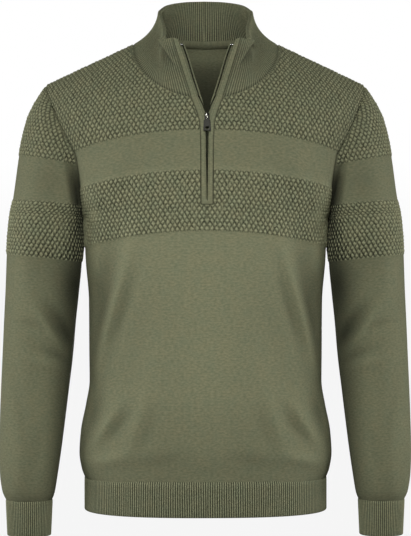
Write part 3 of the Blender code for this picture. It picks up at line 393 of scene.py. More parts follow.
def panel_points(s: Array, y: Array, side: Side) -> Array:
    """Points of half a panel's outer face.

    Args:
        s: Across, from the centre or the slit (0) to the armhole or side seam (1).
        y: Down, from the neckline and shoulder seam (0) over the yoke's end (1) to the hem (2).
        side: Front or back.

    Returns:
        One point for each pair.
    """
    front = side is Side.FRONT
    spread = np.sin(s * math.pi / 2)
    v = np.clip(y, 0, 1)
    first_turn = math.asin(SLIT[-1, 1] / NECK_HALF) if front else 0.0
    turn = first_turn + (math.pi / 2 - first_turn) * np.clip(s / NECK_PART, 0, 1)
    reach = np.clip((s - NECK_PART) / (1 - NECK_PART), 0, 1)
    shoulder = NECK_HALF + (SHOULDER_HALF - NECK_HALF) * reach
    at_neck = s < NECK_PART
    top_x = np.where(at_neck, NECK_HALF * np.sin(turn), shoulder)
    neck_z = -NECK_DROP_FRONT * np.cos(turn) if front else NECK_RISE_BACK * (1 - np.sin(turn)**NECK_CURVE)
    top_z = np.where(at_neck, neck_z, shoulder_line(shoulder))
    low_z = course_z(np.full_like(s, YOKE_END), spread)
    z = top_z * (1 - v) + low_z * v
    tip_z = armhole_z(YOKE_SIDE_ALONG * v)
    z = z + s**ARMHOLE_FADE * (tip_z + SHOULDER_DROP * (1 - v) - YOKE_SIDE_Z * v)
    first = slit_edge(z, side)
    edge = edge_x(tip_z)
    wide = first + (edge_x(np.minimum(z, -SHOULDER_DROP)) - first) * spread
    x = top_x * (1 - v) + wide * v
    x = x + s**ARMHOLE_FADE * (edge - SHOULDER_HALF * (1 - v) - edge * v)
    if front:
        start = SLIT[-1, 1] * (1 - v) + first * v
        x = x + (1 - s)**SLIT_FADE * (smooth(SLIT, 1, z) - start)
    centre = YOKE_END + (np.clip(y, 1, 2) - 1) * (HEM_TOP_Z - YOKE_END)
    below_z = course_z(centre, spread)
    below_first = slit_edge(below_z, side)
    below_x = below_first + (edge_x(below_z) - below_first) * spread
    low = y > 1
    x, z = np.where(low, below_x, x), np.where(low, below_z, z)
    return np.stack([x, depth(x, z, side), z], -1)


def row_of(centre_z: float) -> float:
    """Place down a panel (1 to 2) of the course with a given height at the centre."""
    return 1 + (centre_z - YOKE_END) / (HEM_TOP_Z - YOKE_END)


SECTION_MARGIN = 1.02
SEAM_FADE = 16                         # how close to the inner line the sleeve's folds run
YOKE_PARTS = np.array([0.0, 0.065, 0.2, 0.4, 0.6, 0.8, 1.0])
CAP_PARTS = 3                          # parts of the yoke's height over which the sleeve head lies
CAP_SPREAD = np.array([0, 0.5, 1, 1.5, 2, 2.25, 2.5, 2.75, 3])
CAP_TOP_Z = float(armhole_z(np.array(YOKE_SIDE_ALONG * YOKE_PARTS[CAP_PARTS])))
SLEEVE_FOLD_NAMES = {Side.FRONT: "sleeve_front", Side.BACK: "sleeve_back"}


def armhole_point(z: Array, side: Side) -> Array:
    """Points of the armhole's edge at given heights."""
    x = edge_x(z)
    return np.stack([x, depth(x, z, side), z], -1)


def arc_points(s: Array, inner_z: Array, side: Side) -> Array:
    """Points of the sleeve's front or back half.

    Args:
        s: Round the half, from the outer line (0) to the inner line (1).
        inner_z: Height of the course's inner end.
        side: Front or back.

    Returns:
        One point for each pair.
    """
    outer_x, outer_z, inner_x, half = (smooth(SLEEVE[:, [3, k]], 1, inner_z) for k in (0, 1, 2, 4))
    at_armhole = inner_z > UNDERARM_Z
    edge = armhole_point(inner_z, side)
    end_x = np.where(at_armhole, edge[..., 0], inner_x)
    reach = np.where(at_armhole, np.abs(edge[..., 1]), 0.0)
    radius = np.maximum(half, reach * SECTION_MARGIN)
    turn = math.pi - np.arcsin(reach / radius)
    part = (1 - np.cos(turn * s)) / (1 - np.cos(turn))
    x = outer_x + (end_x - outer_x) * part
    z = outer_z + (inner_z - outer_z) * part
    fold = fold_depth(x, z, SLEEVE_FOLD_NAMES[side]) * (1 - s**SEAM_FADE)
    y = side.value * (radius - fold) * np.sin(turn * s)
    return np.stack([x, y, z], -1)


def sleeve_points(s: Array, inner_z: Array) -> Array:
    """Points of the left sleeve's outer face.

    Args:
        s: Round the sleeve, from the back's inner line (-1) over the outer line (0) to the front's (1).
        inner_z: Height of the course's inner end.

    Returns:
        One point for each pair.
    """
    across = np.abs(s)
    parts = np.arange(len(YOKE_PARTS))
    place = np.interp(armhole_along(inner_z) / YOKE_SIDE_ALONG, YOKE_PARTS, parts)
    weight = np.clip((parts[-1] - place) / CAP_PARTS, 0, 1)**2
    tip_place = np.interp(across * (len(CAP_SPREAD) - 1), np.arange(len(CAP_SPREAD)), CAP_SPREAD)
    tip_z = armhole_z(YOKE_SIDE_ALONG * np.interp(tip_place, parts, YOKE_PARTS))
    halves = []
    for side in (Side.BACK, Side.FRONT):
        points = arc_points(across, inner_z, side)
        fix = armhole_point(tip_z, side) - arc_points(across, np.full_like(inner_z, CAP_TOP_Z), side)
        halves.append(points + fix * weight[..., None])
    return np.where((s < 0)[..., None], halves[0], halves[1])


# ---------------------------------------------------------------- finishes
LEG_SLANT = 1.4                        # how steeply the legs of a V stitch run
LEG_SHARE = 0.75                       # the legs' share of the stitches' relief
YARN_UNEVEN = 0.25                     # how far the crossing yarns stray from a regular net
YARN_LINE = {"From Min": 0.03, "From Max": 0.40, "To Min": 1.0, "To Max": -1.15}
KNOT_SCALE, KNOT_DETAIL, KNOT_GAIN = 1.7, 2.0, 2.0
FIBRE_STRETCH = (220.0, 440.0, 1.0)
FIBRE_DULL, FIBRE_BRIGHT = (0.80, 0.82, 0.79), (1.22, 1.19, 1.19)
CLOUD_SCALE, CLOUD_DETAIL = 60.0, 5.0
CLOUD_DULL, CLOUD_BRIGHT = (0.95, 0.98, 0.98), (1.07, 1.03, 1.00)
GRAIN_SCALE, GRAIN_SPREAD, GRAIN_BUMP = 700.0, 0.15, 0.00003


@dataclass(frozen=True)
class Finish:
    """A finish, whose material is built once.

    Attributes:
        name: Name of the material.
        colour: Its colour in full light (linear red, green, blue).
    """

    name: str
    colour: Triple

    def material(self) -> bpy.types.Material:
        """Build the material once and return it."""
        found = bpy.data.materials.get(self.name)
        if found:
            return found
        made = bpy.data.materials.new(self.name)
        made.use_nodes = True
        self._fill(made.node_tree, made.node_tree.nodes["Principled BSDF"])
        return made

    def _fill(self, tree: Tree, shader: Node) -> None:
        """Set the shader up; each kind of finish does it in its own way."""
        raise NotImplementedError


@dataclass(frozen=True)
class KnitFinish(Finish):
    """A knitted cotton: how hairy it is and the size of its stitches.

    Attributes:
        shade: Share of that colour left where the tone is 1: the deepest painted shade.
        crest: Share of that colour where the tone is -1: a painted highlight on the tops of the relief.
        wale: Width of one stitch.
        course: Height of one stitch.
        bump: Height of the stitches' relief.
        sheen: Strength of the fuzz at grazing angles.
        crossing: How much painted shade darkens the lines between the honeycomb's cells.
        roughness: Roughness of the yarn.
        specular: Strength of its shine.
        fuzz_roughness: Roughness of the fuzz.
        fuzz_gain: How much paler the fuzz is than the yarn.
        yarn_bump: Relief of the crossing yarns, as a share of the stitches' relief.
    """

    shade: Triple = (0.05, 0.055, 0.045)
    crest: float = 1.50
    wale: float = 0.0015
    course: float = 0.0012
    bump: float = 0.00022
    sheen: float = 0.12
    crossing: float = 0.55
    roughness: float = 0.92
    specular: float = 0.2
    fuzz_roughness: float = 0.55
    fuzz_gain: float = 3.2
    yarn_bump: float = 1.5

    def _fill(self, tree: Tree, shader: Node) -> None:
        """Set up the yarn's colour, fuzz and stitches."""
        fuzz = (*[min(1.0, self.fuzz_gain * c) for c in self.colour], 1)
        set_inputs(shader, {"Roughness": self.roughness, "Specular IOR Level": self.specular,
                            "Sheen Weight": self.sheen, "Sheen Roughness": self.fuzz_roughness,
                            "Sheen Tint": fuzz})
        cells = self._cells(tree)
        self._colour(tree, shader, cells)
        height = math_node(tree, "SUBTRACT", self._stitches(tree), scaled(tree, cells, self.yarn_bump))
        add_bump(tree, shader, height, self.bump)

    def _stitches(self, tree: Tree) -> Socket:
        """Height of the knit's V stitches from the cloth's own measures (the UV map is in metres)."""
        uv = tree.nodes.new("ShaderNodeUVMap")
        uv.uv_map = "cloth"
        split = tree.nodes.new("ShaderNodeSeparateXYZ")
        tree.links.new(uv.outputs["UV"], split.inputs[0])
        wale = math_node(tree, "PINGPONG", scaled(tree, split.outputs["X"], 1 / self.wale), 0.5)
        course = scaled(tree, split.outputs["Y"], 1 / self.course)
        slant = math_node(tree, "ADD", course, scaled(tree, wale, LEG_SLANT))
        loop = math_node(tree, "SINE", scaled(tree, slant, 2 * math.pi))
        legs = math_node(tree, "SINE", scaled(tree, wale, 2 * math.pi))
        return math_node(tree, "ADD", scaled(tree, loop, 1 - LEG_SHARE), scaled(tree, legs, LEG_SHARE))

    def _cells(self, tree: Tree) -> Socket:
        """The honeycomb's crossing yarns: above 0 on the lines between its cells, below 0 on the cells."""
        spot = tree.nodes.new("ShaderNodeAttribute")
        spot.attribute_name = "cells"
        split = tree.nodes.new("ShaderNodeSeparateXYZ")
        tree.links.new(spot.outputs["Vector"], split.inputs[0])
        net = tree.nodes.new("ShaderNodeTexVoronoi")
        net.voronoi_dimensions, net.feature = "2D", "DISTANCE_TO_EDGE"
        set_inputs(net, {"Scale": 1.0, "Randomness": YARN_UNEVEN})
        tree.links.new(spot.outputs["Vector"], net.inputs["Vector"])
        line = tree.nodes.new("ShaderNodeMapRange")
        line.interpolation_type = "SMOOTHSTEP"
        set_inputs(line, YARN_LINE)
        tree.links.new(net.outputs["Distance"], line.inputs["Value"])
        knots = scaled(tree, noise(tree, spot.outputs["Vector"], KNOT_SCALE, KNOT_DETAIL), KNOT_GAIN)
        yarns = math_node(tree, "MULTIPLY", line.outputs["Result"], knots)
        return math_node(tree, "MULTIPLY", yarns, split.outputs["Z"])

    def _colour(self, tree: Tree, shader: Node, cells: Socket) -> None:
        """Give the shader the yarn's colour: a melange of fibres, with painted highlights on crests and
        painted shade in pits.

        Args:
            tree: The material's nodes.
            shader: Its shader.
            cells: The crossing yarns.
        """
        place = tree.nodes.new("ShaderNodeTexCoord")
        stretch = tree.nodes.new("ShaderNodeMapping")
        stretch.inputs["Scale"].default_value = FIBRE_STRETCH
        tree.links.new(place.outputs["UV"], stretch.inputs["Vector"])
        fibres = noise(tree, stretch.outputs["Vector"], 1.0, 3.0)
        clouds = noise(tree, place.outputs["Object"], CLOUD_SCALE, CLOUD_DETAIL)
        dull, bright = (tuple(c * k for c, k in zip(self.colour, gain))
                        for gain in (FIBRE_DULL, FIBRE_BRIGHT))
        warm = mix_colour(tree, fibres, dull, bright, *NOISE_RANGE)
        cloudy = mix_colour(tree, clouds, CLOUD_DULL, CLOUD_BRIGHT, *NOISE_RANGE)
        # Painted light and shade: the tone of each point and the lines between the cells move the colour
        # from crest towards shade.
        pit = tree.nodes.new("ShaderNodeAttribute")
        pit.attribute_name = "pit"
        both = math_node(tree, "ADD", pit.outputs["Fac"], scaled(tree, cells, self.crossing))
        level = math_node(tree, "ADD", scaled(tree, both, 0.5), 0.5)
        tone = mix_colour(tree, level, (self.crest,) * 3, self.shade, 0.0, 1.0)
        tone.node.color_ramp.elements.new(0.5).color = (1, 1, 1, 1)
        yarn = tinted(tree, tinted(tree, warm, cloudy), tone)
        tree.links.new(yarn, shader.inputs["Base Color"])


def math_node(tree: Tree, operation: str, a: Socket, b: "Socket | float" = 0.0) -> Socket:
    """One Math node on two values; b is a number or a socket."""
    node = tree.nodes.new("ShaderNodeMath")
    node.operation = operation
    tree.links.new(a, node.inputs[0])
    if isinstance(b, float):
        node.inputs[1].default_value = b
    else:
        tree.links.new(b, node.inputs[1])
    return node.outputs[0]


def set_inputs(node: Node, values: "dict[str, float | tuple[float, ...]]") -> None:
    """Set a node's inputs by name."""
    for name, value in values.items():
        node.inputs[name].default_value = value


def add_bump(tree: Tree, shader: Node, height: Socket, distance: float) -> None:
    """Give a shader a fine relief of a given height."""
    bump = tree.nodes.new("ShaderNodeBump")
    set_inputs(bump, {"Distance": distance, "Strength": 1.0})
    tree.links.new(height, bump.inputs["Height"])
    tree.links.new(bump.outputs["Normal"], shader.inputs["Normal"])


def scaled(tree: Tree, value: Socket, by: float) -> Socket:
    """A value times a number."""
    return math_node(tree, "MULTIPLY", value, by)


def tinted(tree: Tree, colour: Socket, by: Socket) -> Socket:
    """A colour times another."""
    node = tree.nodes.new("ShaderNodeMix")
    node.data_type, node.blend_type = "RGBA", "MULTIPLY"
    node.inputs["Factor"].default_value = 1.0
    tree.links.new(colour, node.inputs[6])
    tree.links.new(by, node.inputs[7])
    return node.outputs[2]


def noise(tree: Tree, place: Socket, scale: float, detail: float) -> Socket:
    """Noise of a given scale and fineness at a place."""
    node = tree.nodes.new("ShaderNodeTexNoise")
    set_inputs(node, {"Scale": scale, "Detail": detail})
    tree.links.new(place, node.inputs["Vector"])
    return node.outputs["Fac"]


NOISE_RANGE = (0.3, 0.7)               # values between which a noise's colours change


def mix_colour(tree: Tree, value: Socket, low: Triple, high: Triple, start: float, end: float) -> Socket:
    """A ramp between two colours, from a value's start to its end."""
    node = tree.nodes.new("ShaderNodeValToRGB")
    for stop, position, colour in zip(node.color_ramp.elements, (start, end), (low, high)):
        stop.position, stop.color = position, (*colour, 1)
    tree.links.new(value, node.inputs["Fac"])
    return node.outputs["Color"]


@dataclass(frozen=True)
class PlainFinish(Finish):
    """A smooth finish: metal or moulded coil.

    Attributes:
        roughness: Roughness where the piece is clean.
        metallic: 1 for metal.
        wear: How much the roughness varies over the piece.
        specular: Strength of the shine where it isn't metal.
    """

    roughness: float
    metallic: float = 0.0
    wear: float = 0.1
    specular: float = 0.5

    def _fill(self, tree: Tree, shader: Node) -> None:
        """Set up the colour and its uneven shine."""
        set_inputs(shader, {"Metallic": self.metallic, "Specular IOR Level": self.specular})
        place = tree.nodes.new("ShaderNodeTexCoord")
        grain = noise(tree, place.outputs["Object"], GRAIN_SCALE, 2.0)
        dull, bright = (tuple(k * c for c in self.colour) for k in (1 - GRAIN_SPREAD, 1 + GRAIN_SPREAD))
        tree.links.new(mix_colour(tree, grain, dull, bright, *NOISE_RANGE), shader.inputs["Base Color"])
        rough = tree.nodes.new("ShaderNodeMapRange")
        swing = self.wear / 2
        set_inputs(rough, {"To Min": self.roughness - swing, "To Max": self.roughness + swing})
        tree.links.new(grain, rough.inputs["Value"])
        tree.links.new(rough.outputs["Result"], shader.inputs["Roughness"])
        add_bump(tree, shader, grain, GRAIN_BUMP)


KNIT = KnitFinish("olive_knit", (0.162, 0.168, 0.101))
# The rib is the knit's own yarn, drawn darker as painted shade for the ribs' self-shadowing.
RIB = KnitFinish("olive_rib", (0.113, 0.118, 0.072), (0.02, 0.03, 0.02), 2.3, wale=0.0031, course=0.0011)
FACING = KnitFinish("olive_facing", (0.150, 0.156, 0.094), wale=0.0011, course=0.0009, bump=0.00012)
TAPE = KnitFinish("woven_tape", (0.125, 0.131, 0.080), wale=0.0008, course=0.0016, bump=0.00010, sheen=0.1)
COIL = PlainFinish("coil", (0.003, 0.003, 0.002), 0.90, specular=0.08)
METAL = PlainFinish("gunmetal", (0.026, 0.026, 0.019), 0.62, wear=0.10, specular=0.20)
CROWN = PlainFinish("worn_gunmetal", (0.120, 0.119, 0.100), 0.17, metallic=1.0, wear=0.08)
STOP = PlainFinish("bright_stop", (0.450, 0.450, 0.440), 0.25, metallic=1.0, wear=0.12)


# ---------------------------------------------------------------- cloth
HALF_WAY = 0.5                         # between the slab's outer face and its inner face
SEAM_JOIN = 0.00002                    # how close points lie that a seam makes one


@dataclass
class Bolt:
    """A cloth laid flat as a grid of columns and rows, two layers thick, ready to be carried to its form.

    Attributes:
        columns: Number of cells across.
        rows: Number of cells down.
        cut_out: Cells to leave open, as a test on a cell's column and row.
        fine: Ranges of rows whose outer faces are divided, with the number of cuts.
        joined_from: Row below which the first and last column are one, for a tube.
    """

    columns: int
    rows: int
    cut_out: Callable[[float, float], bool] | None = None
    fine: tuple[tuple[int, int, int], ...] = ()
    joined_from: int | None = None

    def mesh(self, name: str) -> Mesh:
        """Lay out the flat slab.

        Args:
            name: Name of the mesh.

        Returns:
            The slab: x is the column, y the row, z is 0 outside and -1 inside.
        """
        cloth = bmesh.new()
        bmesh.ops.create_grid(cloth, x_segments=self.columns, y_segments=self.rows, size=0.5)
        bmesh.ops.translate(cloth, verts=cloth.verts, vec=(0.5, 0.5, 0))
        bmesh.ops.scale(cloth, verts=cloth.verts, vec=(self.columns, self.rows, 1))
        if self.cut_out:
            gone = [f for f in cloth.faces if self.cut_out(*f.calc_center_median()[:2])]
            bmesh.ops.delete(cloth, geom=gone, context="FACES")
        made = bmesh.ops.extrude_face_region(cloth, geom=list(cloth.faces), use_keep_orig=True)
        lower = [v for v in made["geom"] if isinstance(v, bmesh.types.BMVert)]
        bmesh.ops.translate(cloth, verts=lower, vec=(0, 0, -1))
        if self.joined_from is not None:
            self._open_seam(cloth)
        for first, last, cuts in self.fine:
            outer = [f for f in cloth.faces if all(abs(v.co.z) < HALF_WAY for v in f.verts)
                     and first < f.calc_center_median().y < last]
            edges = list(dict.fromkeys(e for f in outer for e in f.edges))
            bmesh.ops.subdivide_edges(cloth, edges=edges, cuts=cuts, use_grid_fill=True)
        bmesh.ops.recalc_face_normals(cloth, faces=cloth.faces)
        return as_mesh(cloth, name)

    def _open_seam(self, cloth: bmesh.types.BMesh) -> None:
        """Take out the sides of the slab that a tube's own seam closes."""
        def on_seam(face: bmesh.types.BMFace) -> bool:
            x = {round(v.co.x) for v in face.verts}
            return x in ({0}, {self.columns}) and face.calc_center_median().y > self.joined_from

        gone = [f for f in cloth.faces if on_seam(f)]
        bmesh.ops.delete(cloth, geom=gone, context="FACES")


def as_mesh(shape: bmesh.types.BMesh, name: str) -> Mesh:
    """Write a shape to a new mesh and free it."""
    mesh = bpy.data.meshes.new(name)
    shape.to_mesh(mesh)
    shape.free()
    return mesh


def mesh_places(mesh: Mesh) -> Array:
    """All points of a mesh."""
    flat = np.zeros(len(mesh.vertices) * 3)
    mesh.vertices.foreach_get("co", flat)
    return flat.reshape(-1, 3)


def on_outside(grid: Array) -> Array:
    """Which points of a flat slab belong to its outer face."""
    return np.abs(grid[:, 2]) < HALF_WAY


def wrapped_grid(name: str, columns: int, rows: int) -> tuple[Mesh, Array, Array]:
    """A flat grid for a piece that closes round its own section.

    Args:
        name: Name of the mesh.
        columns: Cells across.
        rows: Stations round the section.

    Returns:
        The mesh, and the column and the station of each of its points.
    """
    cloth = bmesh.new()
    bmesh.ops.create_grid(cloth, x_segments=columns, y_segments=rows, size=0.5)
    mesh = as_mesh(cloth, name)
    grid = mesh_places(mesh)
    column = np.rint((grid[:, 0] + 0.5) * columns).astype(int)
    station = np.rint((grid[:, 1] + 0.5) * rows).astype(int) % rows
    return mesh, column, station


def dress_mesh(mesh: Mesh, points: Array, measures: Array, tone: Array,
               cells: Array | None = None) -> None:
    """Carry a flat mesh to its form, with its UV map in metres and the painted light and shade of its cloth.

    Args:
        mesh: The flat mesh.
        points: Its points on the garment.
        measures: For each point, the distance across and along the cloth.
        tone: For each point, its painted light and shade, with the honeycomb's uneven yarn: -1 for a
        painted highlight on a crest, 0 on plain cloth and 1 for the deepest painted shade.
        cells: For each point, its place among the honeycomb's cells and the honeycomb's share.
    """
    mesh.vertices.foreach_set("co", points.ravel())
    corner = np.zeros(len(mesh.loops), int)
    mesh.loops.foreach_get("vertex_index", corner)
    layer = mesh.uv_layers.new(name="cloth")
    layer.data.foreach_set("uv", measures[corner].ravel())
    attribute = mesh.attributes.new("pit", "FLOAT", "POINT")
    attribute.data.foreach_set("value", tone)
    if cells is not None:
        attribute = mesh.attributes.new("cells", "FLOAT_VECTOR", "POINT")
        attribute.data.foreach_set("vector", cells.ravel())
    mesh.update()


def close_mesh(mesh: Mesh, join: float = 0.0) -> None:
    """Join the points of seams that meet, fill what stays open and turn all faces outwards.

    Args:
        mesh: The mesh to close.
        join: How close two points lie that become one; 0 leaves all as they are.
    """
    cloth = bmesh.new()
    cloth.from_mesh(mesh)
    if join:
        bmesh.ops.remove_doubles(cloth, verts=cloth.verts, dist=join)
    rim = [e for e in cloth.edges if e.is_boundary]
    if rim:
        bmesh.ops.holes_fill(cloth, edges=rim, sides=0)
    bmesh.ops.recalc_face_normals(cloth, faces=cloth.faces)
    cloth.to_mesh(mesh)
    cloth.free()


def mirror_mesh(mesh: Mesh, name: str) -> Mesh:
    """A copy of a mesh on the other side of the body."""
    made = mesh.copy()
    made.name = name
    cloth = bmesh.new()
    cloth.from_mesh(made)
    bmesh.ops.scale(cloth, verts=cloth.verts, vec=(-1, 1, 1))
    bmesh.ops.reverse_faces(cloth, faces=cloth.faces)
    cloth.to_mesh(made)
    cloth.free()
    return made


def both_sides(name: str, mesh: Mesh) -> tuple[tuple[str, Mesh], ...]:
    """A left piece's name and mesh, and those of its mirror image."""
    other = name.replace("left", "right")
    return (name, mesh), (other, mirror_mesh(mesh, other))


EDGE_ANGLE = math.radians(62)


@dataclass(frozen=True)
class Place:
    """Where a piece belongs.

    Attributes:
        body: Body that it rides on.
        slot: Slot of its finish; not used.
        nodes: Solids that it stands for.
    """

    body: str
    slot: str
    nodes: tuple[str, ...]


def show(name: str, mesh: Mesh, finish: Finish, place: Place) -> Piece:
    """Put a finished mesh into the scene, attach it to its body and hide the solids that it stands for.

    Args:
        name: Name of the piece.
        mesh: Its mesh.
        finish: Its finish.
        place: Its body and the solids that it stands for.

    Returns:
        The piece.
    """
    mesh.materials.clear()
    mesh.materials.append(finish.material())
    mesh.shade_smooth()
    mesh.set_sharp_from_angle(angle=EDGE_ANGLE)
    piece = bpy.data.objects.new(name, mesh)
    bpy.context.scene.collection.objects.link(piece)
    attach(piece, place.body)
    if place.nodes:
        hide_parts(*place.nodes)
    mesh.calc_loop_triangles()
    LOG.info("%s: %d triangles", name, len(mesh.loop_triangles))
    return piece


# ---------------------------------------------------------------- honeycomb stitch
@dataclass(frozen=True)
class Honeycomb:
    """Tuck stitch: rows of small raised cells, every other row set over by half a cell.

    Attributes:
        across: Width of a cell.
        along: Distance from one row of cells to the next.
        height: From the bottom of the pits to the top of the cells.
        base: How far the pits lie above the plain knit.
        fade: Distance over which the relief ends at a border.
        uneven: How far the cells wander from their rows.
        squeeze: Below 1 for cells taller than wide.
        steep, full: How steeply a cell rises from the pit beside it and how flat its top is.
        small, larger: Height of the smallest cell and how much more the largest has.
        pit_tone, crest_tone, grain_tone, all_tone: Shares in its tone of the painted shade in the pits, of
        the painted highlight on the cells' tops, of the yarn's unevenness and of painted light over the
        whole stitch.
    """

    across: float = 0.0067
    along: float = 0.0055
    height: float = 0.0017
    base: float = -0.0003
    fade: float = 0.0030
    uneven: float = 0.0004
    squeeze: float = 0.82
    steep: float = 2.2
    full: float = 0.8
    small: float = 0.85
    larger: float = 0.3
    pit_tone: float = 0.24
    crest_tone: float = 0.4
    grain_tone: float = 0.15
    all_tone: float = -0.13

    WANDER = ((480, 130), (370, 150))      # pairs of waves, in radians for each metre
    GRAIN = ((2300, 1100), (1900, 1300))
    BEND = (3, 4)                          # how much one wave bends the other: in the wander, in the grain
    MIX = (12.9898, 78.233, 43758.5453)    # any large uneven numbers: they make each cell's size its own

    def relief(self, u: Array, v: Array, mask: Array) -> tuple[Array, Array, Array]:
        """Height over the plain knit, painted light and shade, and place among the cells.

        Args:
            u: Distance across the cloth.
            v: Distance along the cloth.
            mask: 1 inside the band, 0 outside.

        Returns:
            The height, the tone (-1 for a painted highlight on a crest to 1 for painted shade in a hollow),
            and the place among the cells with the mask.
        """
        wander_bend, grain_bend = self.BEND
        (wave, bend), (wave_v, bend_v) = self.WANDER
        u = u + self.uneven * np.sin(wave * v + wander_bend * np.sin(bend * u))
        v = v + self.uneven * np.sin(wave_v * u + wander_bend * np.sin(bend_v * v))
        column, row = u / (self.across / 2), v / self.along
        gaps, sizes = [], []
        for j in range(-1, 3):
            near_row = np.floor(row) + j
            first = np.floor((column - near_row) / 2) * 2 + near_row
            for i in (0, 2):
                across = (column - first - i) * self.across / 2
                along = (row - near_row) * self.along * self.squeeze
                gaps.append(np.hypot(across, along))
                sizes.append(np.sin((first + i) * self.MIX[0] + near_row * self.MIX[1]) * self.MIX[2] % 1)
        gaps, sizes = np.stack(gaps), np.stack(sizes)
        order = np.argsort(gaps, axis=0)[:2]
        near, next_near = np.take_along_axis(gaps, order, 0)
        size = np.take_along_axis(sizes, order[:1], 0)[0]
        ratio = near / np.maximum(next_near, 1e-9)
        cell = (1 - ratio**self.steep)**self.full * (self.small + self.larger * size)
        (wave, bend), (wave_v, bend_v) = self.GRAIN
        grain = (np.sin(wave * u + grain_bend * np.sin(bend * v))
                 * np.sin(wave_v * v + grain_bend * np.sin(bend_v * u)))
        # Painted highlight on the cells' tops and painted shade in the hollows between them, with the yarn's
        # uneven tone.
        crest = ramp(1 - ratio, 0.35, 0.95) * (0.4 + size)
        tone = (self.pit_tone * ramp(ratio, 0.36, 0.92) - self.crest_tone * crest
                + self.grain_tone * grain + self.all_tone)
        places = np.stack([(column - row) / 2, (column + row) / 2, mask], -1)
        return mask * (self.base + self.height * cell), mask * np.clip(tone, -1, 1), places


HONEYCOMB = Honeycomb()

# Heights and the painted shade of the cloth's wrong side there, with painted light at the neck; depths
# of a fold and the painted shade down in it, with a painted highlight on a ridge.
INSIDE_TONE = ((-0.30, -0.14, -0.10, -0.09, -0.062, -0.045, -0.030, -0.018, -0.008, 0.005),
               (0.00, 0.30, 0.88, 0.92, 0.86, 0.76, 0.58, 0.24, -0.30, -0.35))
FOLD_TONE = ((-0.005, 0, 0.010, 0.022, 0.034), (-0.16, 0, 0.24, 0.45, 0.70))


def seam_dip(distance: Array, by: float = 0.0005, width: float = 0.0016) -> Array:
    """How far a cloth turns in at a seam, over the distance from it."""
    return by * np.exp(-(distance / width)**2)


def inside_tone(z: Array) -> Array:
    """Painted shade of the knit's wrong side: painted light at the neck, deeper shade down inside the
    garment.
    """
    return np.interp(z, *INSIDE_TONE)


def fold_tone(fold: Array) -> Array:
    """Painted shade down in a fold, and painted highlight on a ridge."""
    return np.interp(fold, *FOLD_TONE)


def surface_normals(form: Callable[[Array, Array], Array], a: Array, b: Array, low: Span,
                    high: Span, step: Span) -> Array:
    """Outward directions of a form at its own coordinates, by differences kept inside its range.

    Args:
        form: Gives a point for each pair of coordinates.
        a: First coordinate.
        b: Second coordinate.
        low: Lowest value of each.
        high: Highest value of each.
        step: Reach of the differences.

    Returns:
        One direction of length one for each pair, on the same side everywhere.
    """
    da = form(np.minimum(a + step[0], high[0]), b) - form(np.maximum(a - step[0], low[0]), b)
    db = form(a, np.minimum(b + step[1], high[1])) - form(a, np.maximum(b - step[1], low[1]))
    return unit(np.cross(da, db))


# ---------------------------------------------------------------- front and back
class CourseMap:
    """Distances across and up one side of the body, read at a place in the front view.

    A place is t, the share of the half width from the centre (0) to the side (1), and a height z.
    """

    ACROSS = 180
    UP = 260
    LOW_Z, HIGH_Z = -0.640, 0.014

    def __init__(self, side: Side) -> None:
        """Measure the front or the back once, on a grid."""
        t = np.sin(np.linspace(0, math.pi / 2, self.ACROSS))[:, None] * np.ones(self.UP)
        z = np.linspace(self.LOW_Z, self.HIGH_Z, self.UP) * np.ones((self.ACROSS, 1))
        x = t * edge_x(z)
        points = np.stack([x, depth(x, z, side), z], -1)
        self.across = run_lengths(points, 0)
        self.up = run_lengths(points, 1)

    def _cell(self, t: Array, z: Array) -> tuple[Array, Array]:
        """Fractional row and column of a place in the tables."""
        a = np.arcsin(np.clip(t, 0, 1)) / (math.pi / 2) * (self.ACROSS - 1)
        b = (z - self.LOW_Z) / (self.HIGH_Z - self.LOW_Z) * (self.UP - 1)
        return a, np.clip(b, 0, self.UP - 1)

    def measures(self, t: Array, z: Array) -> tuple[Array, Array]:
        """Distance from the centre and height along the cloth."""
        a, b = self._cell(t, z)
        return bilinear(self.across, a, b), bilinear(self.up, a, b)

    def above(self, t: Array, z: Array, centre: float) -> Array:
        """Distance along the cloth above a course."""
        course = course_z(np.full_like(t, centre), t)
        return self.measures(t, z)[1] - self.measures(t, course)[1]

    def to_edge(self, t: Array, z: Array) -> Array:
        """Distance across the cloth to the armhole or the side seam."""
        return self.measures(np.ones_like(t), z)[0] - self.measures(t, z)[0]


# Painted light and shade on a panel's plain cloth, above 0 where it is darker: painted shade on the stripe,
# painted light on the sides below the arms and on the cloth that turns in at the underarm, painted shade on
# the body away from the middle, and more painted shade over the hem.
STRIPE_TONE, SIDE_TONE, NOOK_TONE, BODY_TONE, LOW_TONE = 0.08, -0.45, -0.50, 0.06, 0.04


def plain_tone(t: Array, z: Array, stripe: Array, plain: Array) -> Array:
    """Painted light and shade on a panel's plain cloth.

    Args:
        t: Share of the half width.
        z: Height.
        stripe: Share of the plain stripe.
        plain: Share of the plain body.

    Returns:
        One tone for each place.
    """
    side = ramp(t, 0.84, 0.97) * ramp(-z, 0.195, 0.225) * ramp(z, -0.34, -0.30)
    nook = ramp(t, 0.80, 0.93) * np.exp(-((z - UNDERARM_Z) / 0.010)**2)
    body = ramp(t, 0.05, 0.40) * ramp(-z, 0.31, 0.38)
    return (STRIPE_TONE * stripe + SIDE_TONE * side + NOOK_TONE * nook
            + plain * (BODY_TONE * body + LOW_TONE * ramp(-z, 0.48, 0.56)))


